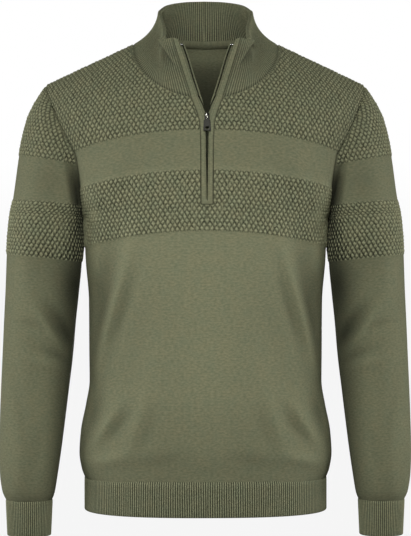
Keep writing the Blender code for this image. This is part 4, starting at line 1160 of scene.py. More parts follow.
@dataclass
class BodyPanel:
    """The front or the back: honeycomb yoke, plain stripe, honeycomb band and plain body.

    Attributes:
        side: Front or back.
        half_columns: Cells from the centre, or from the slit's edge, to the side seam.
        middle_columns: Cells across the front below the slit.
        wall: Thickness of the cloth.
        yoke_rows, stripe_rows, band_rows, band_low_rows, body_rows: Cells down each zone; the band is
            counted above and below the end of the zip's slit.
        cuts: Cuts of each cell's side in the honeycomb zones.
        flat: Width and length of the cut; not used.
        flat_area: Area of the cut; not used.
    """

    side: Side
    half_columns: int = 44
    middle_columns: int = 4
    wall: float = 0.0024
    yoke_rows: int = 22
    stripe_rows: int = 7
    band_rows: int = 7
    band_low_rows: int = 5
    body_rows: int = 64
    cuts: int = 4
    flat: Span = (0.57, 0.68)
    flat_area: float = 0.32

    SEAM_CLEAR = (0.0004, 0.0026)          # distances from a seam between which the relief comes up
    HEM_DIP = (0.0006, 0.0050)             # how far the cloth turns in over the hem, and over what height
    # A fold's painted shade is full at this depth of the body.
    FOLD_REACH = 0.12                      # depth of the body at which a fold has its full tone

    def row_places(self) -> Array:
        """Place down the panel of each row of the grid."""
        stops = ((0.0, 1.0, self.yoke_rows), (1.0, row_of(BAND_START), self.stripe_rows),
                 (row_of(BAND_START), row_of(SLIT_END_Z), self.band_rows),
                 (row_of(SLIT_END_Z), row_of(BAND_END), self.band_low_rows),
                 (row_of(BAND_END), 2.0, self.body_rows))
        parts = [np.linspace(start, end, count + 1)[:-1] for start, end, count in stops]
        return np.concatenate(parts + [[2.0]])

    def build(self, name: str) -> Piece:
        """Make the panel and dress it.

        Args:
            name: The solid that it stands for.

        Returns:
            The piece.
        """
        places = self.row_places()
        rows = len(places) - 1
        front = self.side is Side.FRONT
        between = self.middle_columns if front else 0
        columns = 2 * self.half_columns + between
        band_top = self.yoke_rows + self.stripe_rows
        slit_row = band_top + self.band_rows
        band_end = slit_row + self.band_low_rows
        middle = columns / 2

        def in_slit(column: float, row: float) -> bool:
            """Whether a cell lies in the zip's slit."""
            return abs(column - middle) < between / 2 and row < slit_row

        bolt = Bolt(columns, rows, in_slit if front else None,
                    ((0, self.yoke_rows, self.cuts), (band_top, band_end, self.cuts)))
        mesh = bolt.mesh(name)
        grid = mesh_places(mesh)
        y = np.interp(grid[:, 1], np.arange(rows + 1), places)
        offset = grid[:, 0] - middle
        s = np.clip((np.abs(offset) - between / 2) / self.half_columns, 0, 1)
        sign = np.sign(offset)
        share = np.clip(np.abs(offset) * 2 / between, 0, 1) if front else np.ones_like(s)
        points, normal, measures, relief, tone, cells = self._form(s, y, share)
        outer = on_outside(grid)
        move = np.where(outer, relief, -self.wall)
        points = points + normal * move[:, None]
        points[:, 0] *= sign
        measures[:, 0] *= sign
        cells[:, 2] *= outer
        dress_mesh(mesh, points, measures, np.where(outer, tone, inside_tone(points[:, 2])), cells)
        close_mesh(mesh)
        piece = show(f"{name}_knit", mesh, KNIT, Place("garment", "knit", (name,)))
        return piece

    def _form(self, s: Array, y: Array, share: Array) -> tuple[Array, ...]:
        """Points, outward directions, cloth measures, relief, tones and cells at places on the panel.

        Args:
            s: Across, from the centre or the slit's edge (0) to the side (1).
            y: Down the panel.
            share: Share of the slit's half width, below 1 only in the middle of the front.

        Returns:
            The six in this order, with one row or value for each place.
        """
        def form(a: Array, b: Array) -> Array:
            """Points of this panel."""
            return panel_points(a, b, self.side)

        points = form(s, y)
        x, z = points[:, 0] * share, points[:, 2]
        points = np.stack([x, np.where(share < 1, depth(x, z, self.side), points[:, 1]), z], -1)
        normal = surface_normals(form, s, y, (0, 0), (1, 2), (0.004, 0.004))
        normal = normal * np.sign((normal[:, 1] * self.side.value).sum())
        normal[:, 0] *= share
        t = x / edge_x(z)
        course = CourseMap(self.side)
        across, up = course.measures(t, z)
        over_yoke = course.above(t, z, YOKE_END)
        under_top = -course.above(t, z, BAND_START)
        over_band = course.above(t, z, BAND_END)
        top_gap = np.linalg.norm(points - form(s, np.zeros_like(y)), axis=1)
        seam = np.minimum(course.to_edge(t, z), top_gap)
        clear = ramp(seam, *self.SEAM_CLEAR)
        fade = HONEYCOMB.fade
        yoke = ramp(over_yoke, 0, fade) * clear
        band = ramp(under_top, 0, fade) * ramp(over_band, 0, fade) * clear
        in_yoke = y <= 1
        height_y, pit_y, cells_y = HONEYCOMB.relief(across, over_yoke - HONEYCOMB.along, yoke * in_yoke)
        height_b, pit_b, cells_b = HONEYCOMB.relief(across, under_top - HONEYCOMB.along, band * ~in_yoke)
        hem = np.linalg.norm(points - form(s, np.full_like(y, 2.0)), axis=1)
        relief = height_y + height_b - seam_dip(seam) - seam_dip(hem, *self.HEM_DIP)
        stripe = ramp(-over_yoke, 0, fade) * ramp(-under_top, 0, fade)
        fold = fold_depth(x, z, FOLD_NAMES[self.side]) * np.abs(points[:, 1]) / self.FOLD_REACH
        # Painted light and shade: the honeycomb's, the plain cloth's and down in the folds.
        tone = pit_y + pit_b + plain_tone(t, z, stripe, ramp(-over_band, 0, fade)) + fold_tone(fold)
        cells = np.where(in_yoke[:, None], cells_y, cells_b)
        return points, normal, np.stack([across, up], -1), relief, np.clip(tone, -1, 1), cells


# ---------------------------------------------------------------- sleeves
class SleeveMap:
    """Distances round and down the sleeve, read at its own coordinates."""

    ROUND = 161
    DOWN = 240

    def __init__(self) -> None:
        """Measure the sleeve once, on a grid."""
        s = np.linspace(-1, 1, self.ROUND)[:, None] * np.ones(self.DOWN)
        z = np.linspace(CAP_TOP_Z, CUFF_TOP_Z, self.DOWN) * np.ones((self.ROUND, 1))
        points = sleeve_points(s, z)
        lengths = run_lengths(points, 0)
        self.round = lengths - lengths[self.ROUND // 2]
        down = run_lengths(points, 1)
        self.down = down.mean(0) * np.ones_like(down)

    def measures(self, s: Array, z: Array) -> tuple[Array, Array]:
        """Distance round from the outer line and down from the shoulder."""
        a = (s + 1) / 2 * (self.ROUND - 1)
        b = (z - CAP_TOP_Z) / (CUFF_TOP_Z - CAP_TOP_Z) * (self.DOWN - 1)
        return bilinear(self.round, a, b), bilinear(self.down, a, b)


SLEEVE_YOKE_END, SLEEVE_BAND_START, SLEEVE_BAND_END = -0.177, -0.230, -0.313    # at the inner line


@dataclass
class Sleeves:
    """Both sleeves, set in at the armholes, with the body's bands carried across.

    Attributes:
        around: Cells round the sleeve.
        wall: Thickness of the cloth.
        cuts: Cuts of each cell's side in the honeycomb zones.
        flat: Width and length of the cut; not used.
        flat_area: Area of the cut; not used.
        groove: Depth of the slanting grooves in the lower band.
        groove_tone, band_tone: Painted highlight on the lines between the grooves and painted shade in
        them, and how much brighter the whole band is drawn.
        underarm_fill: How far the cloth under the arm is pushed out, so that no slit shows there.
        plain_tone: Painted shade: how much darker the upper plain part is drawn.
    """

    around: int = 64
    wall: float = 0.0024
    cuts: int = 4
    flat: Span = (0.40, 0.58)
    flat_area: float = 0.195
    groove: float = 0.0006
    groove_tone: float = 0.22
    band_tone: float = 0.09
    underarm_fill: float = 0.0022
    plain_tone: float = 0.06

    SEAM_CLEAR = (0.0018, 0.0044)          # distances from a seam between which the relief comes up
    CUFF_DIP = (0.0016, 0.0050)            # how far the cloth turns in over the cuff, and over what height
    FILL_FROM, FILL_Z, FILL_HEIGHT = 0.80, -0.284, 0.018
    PLAIN_FADE = (-0.46, -0.36)
    MARGIN = 0.001

    ZONES = (
        # inner height at the start and end, cells down
        (CAP_TOP_Z, SLEEVE_YOKE_END, 18),
        (SLEEVE_YOKE_END, SLEEVE_BAND_START, 7),
        (SLEEVE_BAND_START, UNDERARM_Z, 4),
        (UNDERARM_Z, SLEEVE_BAND_END, 10),
        (SLEEVE_BAND_END, CUFF_TOP_Z + 0.0002, 68),
    )

    SHADE = np.array([
        # depth below the shoulder, width and share of the painted shade along the inner line
        (0.120, 0.003, 0.00),
        (0.165, 0.006, 0.45),
        (0.200, 0.009, 0.90),
        (0.250, 0.012, 0.95),
        (0.310, 0.020, 0.74),
        (0.360, 0.026, 0.66),
        (0.430, 0.027, 0.64),
        (0.500, 0.022, 0.55),
        (0.600, 0.014, 0.20),
        (0.660, 0.010, 0.00),
    ])

    def build(self) -> list[Piece]:
        """Make both sleeves and dress them.

        Returns:
            The left and the right sleeve.
        """
        parts = [np.linspace(start, end, count + 1)[:-1] for start, end, count in self.ZONES]
        places = np.concatenate(parts + [[self.ZONES[-1][1]]])
        rows = len(places) - 1
        counts = np.cumsum([count for _, _, count in self.ZONES])
        bolt = Bolt(self.around, rows, None,
                    ((0, int(counts[0]), self.cuts), (int(counts[1]), int(counts[3]), self.cuts)),
                    int(counts[2]))
        mesh = bolt.mesh("sleeve_left")
        grid = mesh_places(mesh)
        z = np.interp(grid[:, 1], np.arange(rows + 1), places)
        s = np.clip(grid[:, 0] / self.around * 2 - 1, -1, 1)
        s = (s + np.sin(s * math.pi / 2)) / 2
        outer = on_outside(grid)
        points, normal, measures, relief, tone, cells = self._form(s, z)
        points = points + normal * np.where(outer, relief, -self.wall)[:, None]
        cells[:, 2] *= outer
        dress_mesh(mesh, points, measures, np.where(outer, tone, inside_tone(points[:, 2])), cells)
        close_mesh(mesh, SEAM_JOIN)
        pieces = []
        for name, shape in both_sides("sleeve_left", mesh):
            piece = show(f"{name}_knit", shape, KNIT, Place("garment", "knit", (name,)))
            pieces.append(piece)
        return pieces

    def _form(self, s: Array, z: Array) -> tuple[Array, ...]:
        """Points, outward directions, cloth measures, relief, tones and cells at places on the sleeve.

        Args:
            s: Round the sleeve, as in sleeve_points.
            z: Height of the course's inner end.

        Returns:
            The six in this order, with one row or value for each place.
        """
        def closed(a: Array, b: Array) -> Array:
            """Points of the sleeve, going on past the seam."""
            return sleeve_points(np.where(a > 1, a - 2, np.where(a < -1, a + 2, a)), b)

        low_z = self.ZONES[-1][1]
        points = sleeve_points(s, z)
        step = (0.006, 0.0012)
        normal = surface_normals(sleeve_points, s, z, (-1.0, low_z), (1.0, CAP_TOP_Z), step)
        tube = surface_normals(closed, s, z, (-2.0, low_z), (2.0, CAP_TOP_Z), step)
        normal = np.where((z < UNDERARM_Z - self.MARGIN)[:, None], tube, normal)
        normal = normal * np.sign((normal[:, 0] * (points[:, 0] - SHOULDER_HALF)).sum())
        course = SleeveMap()
        around, down = course.measures(s, z)
        start = [course.measures(np.zeros(1), np.array([at]))[1][0]
                 for at in (SLEEVE_YOKE_END, SLEEVE_BAND_START, SLEEVE_BAND_END)]
        armhole = np.where(z > UNDERARM_Z, course.measures(np.ones_like(s), z)[0] - np.abs(around), 1.0)
        top = np.linalg.norm(points - sleeve_points(s, np.full_like(z, CAP_TOP_Z)), axis=1)
        seam = np.minimum(armhole, top)
        clear = ramp(seam, *self.SEAM_CLEAR)
        fade = HONEYCOMB.fade
        yoke = ramp(start[0] - down, 0, fade) * clear * (z > SLEEVE_YOKE_END - self.MARGIN)
        band = ramp(down - start[1], 0, fade) * ramp(start[2] - down, 0, fade) * clear
        height_y, pit_y, cells_y = HONEYCOMB.relief(around, start[0] - down - HONEYCOMB.along, yoke)
        height_b, pit_b, cells_b = HONEYCOMB.relief(around, down - start[1] - HONEYCOMB.along, band)
        slant = band * np.cos(2 * math.pi * cells_b[:, 1])
        height_b = height_b + self.groove / 2 * (slant - band)
        # Painted highlight between the slanting grooves and painted shade in them.
        pit_b = pit_b - self.groove_tone * slant - self.band_tone * band
        cuff = np.linalg.norm(points - sleeve_points(s, np.full_like(z, low_z)), axis=1)
        fill = ramp(np.abs(s), self.FILL_FROM, 1.0) * np.exp(-((z - self.FILL_Z) / self.FILL_HEIGHT)**2)
        relief = (height_y + height_b + self.underarm_fill * fill
                  - seam_dip(seam) - seam_dip(cuff, *self.CUFF_DIP))
        fold = np.where(s > 0, fold_depth(points[:, 0], points[:, 2], "sleeve_front"),
                        fold_depth(points[:, 0], points[:, 2], "sleeve_back"))
        # Painted shade along the inner line, where the sleeve turns towards the body.
        inner_x = sleeve_points(np.where(s < 0, -1.0, 1.0), z)[:, 0]
        near = (points[:, 0] - inner_x) / np.interp(-z, self.SHADE[:, 0], self.SHADE[:, 1])
        shade = np.interp(-z, self.SHADE[:, 0], self.SHADE[:, 2]) * np.exp(-near**2)
        plain = (1 - yoke - band) * ramp(z, *self.PLAIN_FADE)
        fold = fold * (1 - np.abs(s)**SEAM_FADE)
        # Painted light and shade: the honeycomb's, in the folds, along the inner line and over the upper
        # plain part.
        tone = pit_y + pit_b + fold_tone(fold) + shade + self.plain_tone * plain
        cells = np.where((yoke > 0)[:, None], cells_y, cells_b)
        return points, normal, np.stack([around, -down], -1), relief, np.clip(tone, -1, 1), cells


# ---------------------------------------------------------------- ribbed trims
def ring_points(count: int, half_width: float, front: float, back: float, power: float) -> Array:
    """Evenly spaced points of a ring in plan, from the middle of the front towards +X and round the back."""
    turn = np.linspace(0, 2 * math.pi, 4 * count + 1)
    across = np.abs(np.sin(turn))**(2 / power) * np.sign(np.sin(turn))
    along = np.abs(np.cos(turn))**(2 / power) * np.sign(np.cos(turn))
    dense = np.stack([across * half_width, np.where(along > 0, -along * front, -along * back)], -1)
    length = run_lengths(dense)
    even = np.arange(count) * length[-1] / count
    return read_rows(even, length, dense)


RIB_HEIGHT = 0.0008
RIB_ROUND = 1.3                        # how narrow the grooves between the ribs are
RIB_WANDER = (0.075, 3, 40)            # how far ribs stray, and the waves of it down and round the tube
# Painted shade in the ribs' grooves and as much painted highlight on their ridges.
RIB_TONE = 0.95                        # tone of the grooves; the ridges have as much below 0
TUBE_PROUD = 0.0005                    # how far a tube's outside stands out
TUBE_PULL = 0.0012                     # how far its tucked edge is drawn in
TUCK = 0.0040


def rib_wave(place: Array) -> Array:
    """Height of a rib (0 to 1) over its own width: a rounded ridge between narrow grooves."""
    return np.abs(np.cos(math.pi * place))**RIB_ROUND


def wall_section(height_rows: int, fold_rows: int, wall: float, height: float) -> Array:
    """Stations round a doubled rib's section: from its tucked edge down outside, round its fold and up.

    Args:
        height_rows: Rows on each face.
        fold_rows: Rows round the fold.
        wall: Thickness of the doubled rib.
        height: Height of the rib.

    Returns:
        For each station: how far down from the joined edge, how far in, and which way it faces
        (1 outside, -1 inside).
    """
    radius = wall / 2
    down = np.linspace(0, height - radius, height_rows + 1)
    outside = [(d, 0.0, 1.0) for d in (-TUCK, -TUCK / 2, *down)]
    turn = np.linspace(0, math.pi, fold_rows + 1)[1:-1]
    fold = [(height - radius * (1 - math.sin(a)), radius * (1 - math.cos(a)), math.cos(a)) for a in turn]
    inside = [(d, wall, -1.0) for d in down[::-1]]
    return np.array(outside + fold + inside)


@dataclass
class RibTube:
    """A doubled rib tube: the hem band or a cuff.

    Attributes:
        name: The node it stands for.
        ribs: Ribs round the tube.
        per_rib: Columns for each rib.
        centre_x: Distance of its centre from the middle of the body.
        top, bottom: Half width, front depth and back depth of its upper and lower ring.
        top_z, bottom_z: Heights of its edges.
        power: How square its rings are.
        flat: Width and length of the cut; not used.
        wall: Thickness of the doubled rib.
        height_rows, fold_rows: Rows on each face and round the lower edge.
        hangs_on: Piece that carries it; not used.
        dull: Painted shade: how much darker than the other trims it is drawn.
    """

    name: str
    ribs: int
    per_rib: int
    centre_x: float
    top: Triple
    bottom: Triple
    top_z: float
    bottom_z: float
    power: float
    flat: Span
    wall: float = 0.0034
    height_rows: int = 9
    fold_rows: int = 6
    hangs_on: str = "front_knit"
    dull: float = 0.0

    def mesh(self) -> Mesh:
        """Wrap a grid round the ring and round the rib's own section."""
        columns = self.ribs * self.per_rib
        height = self.top_z - self.bottom_z
        section = wall_section(self.height_rows, self.fold_rows, self.wall, height)
        mesh, column, station = wrapped_grid(self.name, columns, len(section))
        down, into, facing = section[station].T
        part = down / height
        rings = [ring_points(columns, *size, self.power) for size in (self.top, self.bottom)]
        at = column % columns
        place = rings[0][at] * (1 - part)[:, None] + rings[1][at] * part[:, None]
        tangent = np.roll(rings[0], -1, 0) - np.roll(rings[0], 1, 0)
        outward = unit(np.stack([tangent[:, 1], -tangent[:, 0]], -1))[at]
        stray, down_wave, round_wave = RIB_WANDER
        wander = stray * np.sin(part * down_wave + column / columns * round_wave)
        rib = rib_wave(column / self.per_rib + wander)
        edge = np.minimum(down, height - down)
        outside = np.maximum(facing, 0)
        lift = RIB_HEIGHT * rib * facing * ramp(edge, -0.0030, 0.0008) + TUBE_PROUD * outside
        pull = TUBE_PULL * ramp(-down, 0.0, 0.0015) * outside
        plan = place + outward * (lift - into - pull)[:, None]
        points = np.stack([plan[:, 0] + self.centre_x, plan[:, 1], self.top_z - down], -1)
        length = np.linalg.norm(tangent, axis=1).sum() / 2
        measures = np.stack([column / columns * length, -down - into], -1)
        # Painted shade in the grooves, painted highlight on the ridges, and the tube's own painted shade.
        dress_mesh(mesh, points, measures, np.clip((1 - 2 * rib) * RIB_TONE + self.dull, -1, 1))
        close_mesh(mesh, SEAM_JOIN)
        return mesh

    def build(self) -> list[Piece]:
        """Make the tube, and its mirror image if it is a cuff."""
        mesh = self.mesh()
        shapes = both_sides(self.name, mesh) if self.centre_x else ((self.name, mesh),)
        pieces = []
        for node, shape in shapes:
            piece = show(f"{node}_rib", shape, RIB, Place("garment", "rib", (node,)))
            pieces.append(piece)
        return pieces


class NeckSeam:
    """The seam line between the panels and the collar, from the centre back to the front edge."""

    STEPS = 160

    def __init__(self) -> None:
        """Trace the seam along both panels."""
        share = np.linspace(0, NECK_PART, self.STEPS)
        top = np.zeros(self.STEPS)
        back = panel_points(share, top, Side.BACK)
        front = panel_points(share[::-1], top, Side.FRONT)
        edges = []
        for edge, start, span in ((back, 0.0, COLLAR_SHOULDER_TURN),
                                  (front, COLLAR_SHOULDER_TURN, 1 - COLLAR_SHOULDER_TURN)):
            length = run_lengths(edge)
            edges.append(start + span * length / length[-1])
        self.turn = np.concatenate([edges[0], edges[1][1:]])
        self.points = np.concatenate([back, front[1:]])

    def at(self, turn: Array) -> Array:
        """Points of the seam at given turns."""
        return read_rows(turn, self.turn, self.points)


NECK_SEAM = NeckSeam()


def collar_points(turn: Array, level: Array) -> Array:
    """Points of the collar's outer face.

    Args:
        turn: Round the neck, from the centre back (0) to the front edge (1).
        level: Up the collar, from the seam (0) to its top (1).

    Returns:
        One point for each pair.
    """
    base = NECK_SEAM.at(turn)
    top = np.stack([smooth(COLLAR, k, turn) for k in (1, 2, 3)], -1)
    middle = np.stack([smooth(COLLAR, k, turn) for k in (4, 5, 6)], -1)
    up = level[:, None]
    return base * (1 - up)**2 + middle * 2 * up * (1 - up) + top * up**2


@dataclass
class Collar:
    """The stand collar: one rib strip folded along its top edge, open at the front.

    Attributes:
        ribs_half: Ribs on each half.
        per_rib: Columns for each rib.
        wall: Thickness of the doubled rib.
        height_rows, fold_rows: Rows on each face and round the top edge.
        flat: Width and length of the cut that shows; not used.
        flat_area: Its area; not used.
        half_length: Half the strip's length, for the stitches.
        tuck: How far the lower edge is drawn in under the panels.
        rib_tone_out, rib_tone_in: Painted shade in the ribs' grooves and painted highlight on their ridges,
        outside and inside.
    """

    ribs_half: int = 80
    per_rib: int = 6
    wall: float = 0.0044
    height_rows: int = 16
    fold_rows: int = 8
    flat: Span = (0.50, 0.10)
    flat_area: float = 0.034
    half_length: float = 0.26
    tuck: float = 0.0010
    rib_tone_out: float = 0.50
    rib_tone_in: float = 0.9

    TUCKED = (-0.07, -0.035)               # levels of the rows under the panels' edge
    # The line along which the front corner turns out: level, turn. Then the painted shade outside: level,
    # tone.
    FLAP = ((0.50, 0.55, 0.78, 1.00), (1.000, 0.975, 0.940, 0.880))
    DULL_OUT = ((0.0, 0.25, 0.40, 0.60, 0.75, 0.90, 1.0), (0.0, 0.08, 0.18, 0.24, 0.26, 0.06, 0.0))
    # The corner's ridge, hollow and crease: place beside the line and half width, height, and tone: painted
    # highlight on the ridge, painted shade in the hollow and crease.
    CORNER = ((0.0, 0.014), (0.045, 0.035), (0.018, 0.008))
    CORNER_RISE = (0.0012, -0.0030, -0.0008)
    CORNER_TONE = (-0.25, 0.20, 0.45)
    # Painted shade inside: painted light over all, more shade towards the seam, more at the back; and a
    # darker line along the seam.
    TONE_IN, LOW_TONE, BACK_TONE, SEAM_TONE = -0.18, 0.36, 0.33, 0.6

    def build(self) -> Piece:
        """Make the collar and dress it."""
        columns = 2 * self.ribs_half * self.per_rib
        levels = np.linspace(0, 1, self.height_rows + 1)
        turn_in = np.linspace(0, math.pi, self.fold_rows + 1)[1:-1]
        section = np.array([(v, 0.0, 1.0, 0.0) for v in (*self.TUCKED, *levels)]
                           + [(1.0, 1 - math.cos(a), math.cos(a), math.sin(a)) for a in turn_in]
                           + [(v, 2.0, -1.0, 0.0) for v in levels[::-1]])
        mesh, column, station = wrapped_grid("collar", columns, len(section))
        level, into, facing, over = section[station].T
        offset = column / (columns / 2) - 1
        turn, sign = np.abs(offset), np.sign(offset)
        radius = self.wall / 2
        top = collar_points(turn, np.ones_like(turn))
        lower = collar_points(turn, np.full_like(turn, 0.9))
        upward = unit(top - lower)
        reach = np.linalg.norm(top - collar_points(turn, np.zeros_like(turn)), axis=1)
        level = level * (1 - radius / reach)
        points = collar_points(turn, level)
        normal = surface_normals(collar_points, turn, level, (0, 0), (1, 1), (0.004, 0.01))
        normal = normal * np.sign((normal * (points - [0, -0.01, 0]) * [1, 1, 0]).sum())
        rib = rib_wave(turn * self.ribs_half)
        height = level * reach
        soft = ramp(height, -0.001, 0.002)
        outside = facing > 0
        tuck = self.tuck * ramp(-height, -0.0008, 0.0010) * outside
        gap = turn - np.interp(level, *self.FLAP)
        flap = ramp(level, 0.45, 0.65) * outside
        ridge, hollow, crease = (np.exp(-((gap + back) / width)**2) for back, width in self.CORNER)
        rise = np.tensordot(self.CORNER_RISE, (ridge, hollow, flap * crease), 1)
        move = RIB_HEIGHT * rib * facing * soft - into * radius - tuck + flap * rise
        below = 1 - level
        # Painted shade inside the collar; painted shade outside towards the front and round the corner's
        # fold.
        dull_in = (self.LOW_TONE * ramp(below, 0.25, 1.0) + self.TONE_IN
                   + self.BACK_TONE * ramp(below, 0.1, 0.35) * ramp(turn, 0, 0.3))
        dull = np.where(outside, np.interp(level, *self.DULL_OUT) * ramp(turn, 0.35, 0.65), dull_in)
        dull = dull + flap * np.tensordot(self.CORNER_TONE, (ridge, hollow, crease), 1)
        dull = dull + self.SEAM_TONE * np.exp(-((height - 0.0008) / 0.0013)**2)
        tone = (1 - 2 * rib) * np.where(outside, self.rib_tone_out, self.rib_tone_in) + dull
        points = points + normal * move[:, None] + upward * (over * radius)[:, None]
        points[:, 0] *= np.where(sign == 0, 1, sign)
        measures = np.stack([offset * self.half_length, height * np.where(facing >= 0, 1, -1)], -1)
        dress_mesh(mesh, points, measures, np.clip(tone, -1, 1))
        close_mesh(mesh, SEAM_JOIN)
        piece = show("collar_rib", mesh, RIB, Place("garment", "rib", ("collar",)))
        return piece


# ---------------------------------------------------------------- zip
class ZipLine:
    """The edge from the foot of the slit up to the collar's top, with its outward and inward ways."""

    STEPS = 260
    SLIT_STEPS, COLLAR_STEPS = 400, 120
    SOFTEN = 9

    def __init__(self) -> None:
        """Trace the edge along the slit and the collar, and even it out where they meet."""
        def slit_points(a: Array, b: Array) -> Array:
            """Points of the front."""
            return panel_points(a, b, Side.FRONT)

        y = np.linspace(row_of(SLIT_END_Z), 0, self.SLIT_STEPS)
        slit = slit_points(np.zeros_like(y), y)
        level = np.linspace(0, 1, self.COLLAR_STEPS)[1:]
        edge = collar_points(np.ones_like(level), level)
        line = np.concatenate([slit, edge])
        length = run_lengths(line)
        slit_out = surface_normals(slit_points, np.zeros_like(y), y, (0, 0), (1, 2), (0.02, 0.004))
        edge_out = surface_normals(collar_points, np.ones_like(level), level, (0, 0), (1, 1), (0.02, 0.02))
        slit_out = slit_out * -np.sign(slit_out[:, 1].sum())
        edge_out = edge_out * -np.sign(edge_out[:, 1].sum())
        outward = np.concatenate([slit_out, edge_out])
        self.length = length[-1]
        self.place = np.linspace(0, self.length, self.STEPS)
        self.line = self._soften(read_rows(self.place, length, line))
        self.outward = unit(self._soften(read_rows(self.place, length, outward)))
        along = np.gradient(self.line, axis=0)
        self.across = unit(np.cross(along, self.outward))
        self.across *= -np.sign(self.across[:, :1].sum())

    def _soften(self, values: Array) -> Array:
        """Even out a line over a few of its points, with its ends kept."""
        weight = np.hanning(self.SOFTEN + 2)[1:-1]
        weight = weight / weight.sum()
        pad = self.SOFTEN // 2
        padded = np.concatenate([2 * values[:1] - values[pad:0:-1], values,
                                 2 * values[-1:] - values[-2:-pad - 2:-1]])
        return np.stack([np.convolve(padded[:, k], weight, "valid") for k in range(3)], -1)

    def at(self, place: Array, reach: Array, out: Array) -> Array:
        """Points by distance up the line, distance across from it and height over the cloth."""
        line, across, outward = (read_rows(place, self.place, rows)
                                 for rows in (self.line, self.across, self.outward))
        return line + across * reach[:, None] + outward * out[:, None]

    def height(self, place: Array) -> Array:
        """Height above the origin at distances up the line."""
        return np.interp(place, self.place, self.line[:, 2])

    def coil_reach(self, place: Array) -> Array:
        """Distance across from the line to the coil's edge."""
        line = self.at(place, np.zeros_like(place), np.zeros_like(place))
        across = np.abs(np.interp(place, self.place, self.across[:, 0]))
        return (line[:, 0] - smooth(ZIP_EDGE, 1, line[:, 2])) / across


TOP_SLANT = 0.80                       # the tops of the strips run level, not square to the zip
TAPE_SLANT = 1.05


@dataclass
class Placket:
    """The plain folded facing strip beside the zip, sewn along both of its edges.

    Attributes:
        line: The edge that it is sewn to.
        width, wall: Its width and thickness.
        gap: Distance from the edge's line.
        proud: How far it stands over the cloth.
        foot: Height of the crossing piece at its foot.
        foot_gain: How much wider it gets towards the foot.
        rows, columns: Cells along and across.
        flat_width: Width of the cut that shows; not used.
        roll: How far its edges turn in, and over what distance.
        stitch_at, stitch: Distance of the stitched groove from the edge, and its depth.
        inside_tone: Painted shade on its wrong side.
    """

    line: ZipLine
    width: float = 0.0072
    wall: float = 0.0030
    gap: float = 0.0003
    proud: float = 0.0006
    foot: float = 0.0062
    foot_gain: float = 0.0008
    rows: int = 220
    columns: int = 14
    flat_width: float = 0.0100
    roll: Span = (0.0011, 0.0007)
    stitch_at: float = 0.0013
    stitch: float = 0.00035
    inside_tone: float = 0.3

    GAIN_UNDER = (0.150, 0.225)            # depth over which it gets wider
    # Painted shade along the edge by the zip, at the foot and in the stitched groove; a painted highlight
    # along the outer rim.
    EDGE_TONE, STITCH_TONE, RIM_TONE = 0.95, 0.45, -0.6

    def build(self) -> list[Piece]:
        """Make both strips."""
        mesh = Bolt(self.columns, self.rows).mesh("placket_left")
        grid = mesh_places(mesh)
        u = grid[:, 0] / self.columns
        share = grid[:, 1] / self.rows
        place = share * (self.line.length - TOP_SLANT * (self.gap + self.width * u))
        width = self.width + self.foot_gain * ramp(-self.line.height(place), *self.GAIN_UNDER)
        foot = ramp(self.foot - place, -0.0004, 0.0004)
        width = width + (SLIT[0, 1] - self.gap - width) * foot
        reach = self.gap + width * u
        edge = np.minimum(u, np.where(foot > 0.5, 1, 1 - u)) * self.width
        ends = np.minimum(share, 1 - share) * self.line.length
        outer = on_outside(grid)
        turned, over = self.roll
        roll = turned * np.exp(-edge / over) + turned * np.exp(-ends / over)
        stitch = self.stitch * np.exp(-((edge - self.stitch_at) / 0.0004)**2)
        out = np.where(outer, self.proud - roll - stitch, self.proud - self.wall + roll)
        points = self.line.at(place, reach, out)
        rim = np.minimum(u * self.width, place)
        # Painted shade at the inner edge, the foot and the stitched groove; painted highlight along the
        # outer rim.
        tone = (self.EDGE_TONE * np.exp(-(rim / over)**2)
                + self.STITCH_TONE * np.exp(-((edge - self.stitch_at) / 0.0003)**2)
                + self.RIM_TONE * np.exp(-((1 - u) * self.width / over)**2) * (1 - foot))
        measures = np.stack([u * self.width, place], -1)
        dress_mesh(mesh, points, measures, np.where(outer, tone, self.inside_tone))
        close_mesh(mesh)
        pieces = []
        for name, shape in both_sides("placket_left", mesh):
            piece = show(f"{name}_strip", shape, FACING, Place("garment", "knit", (name,)))
            pieces.append(piece)
        return pieces


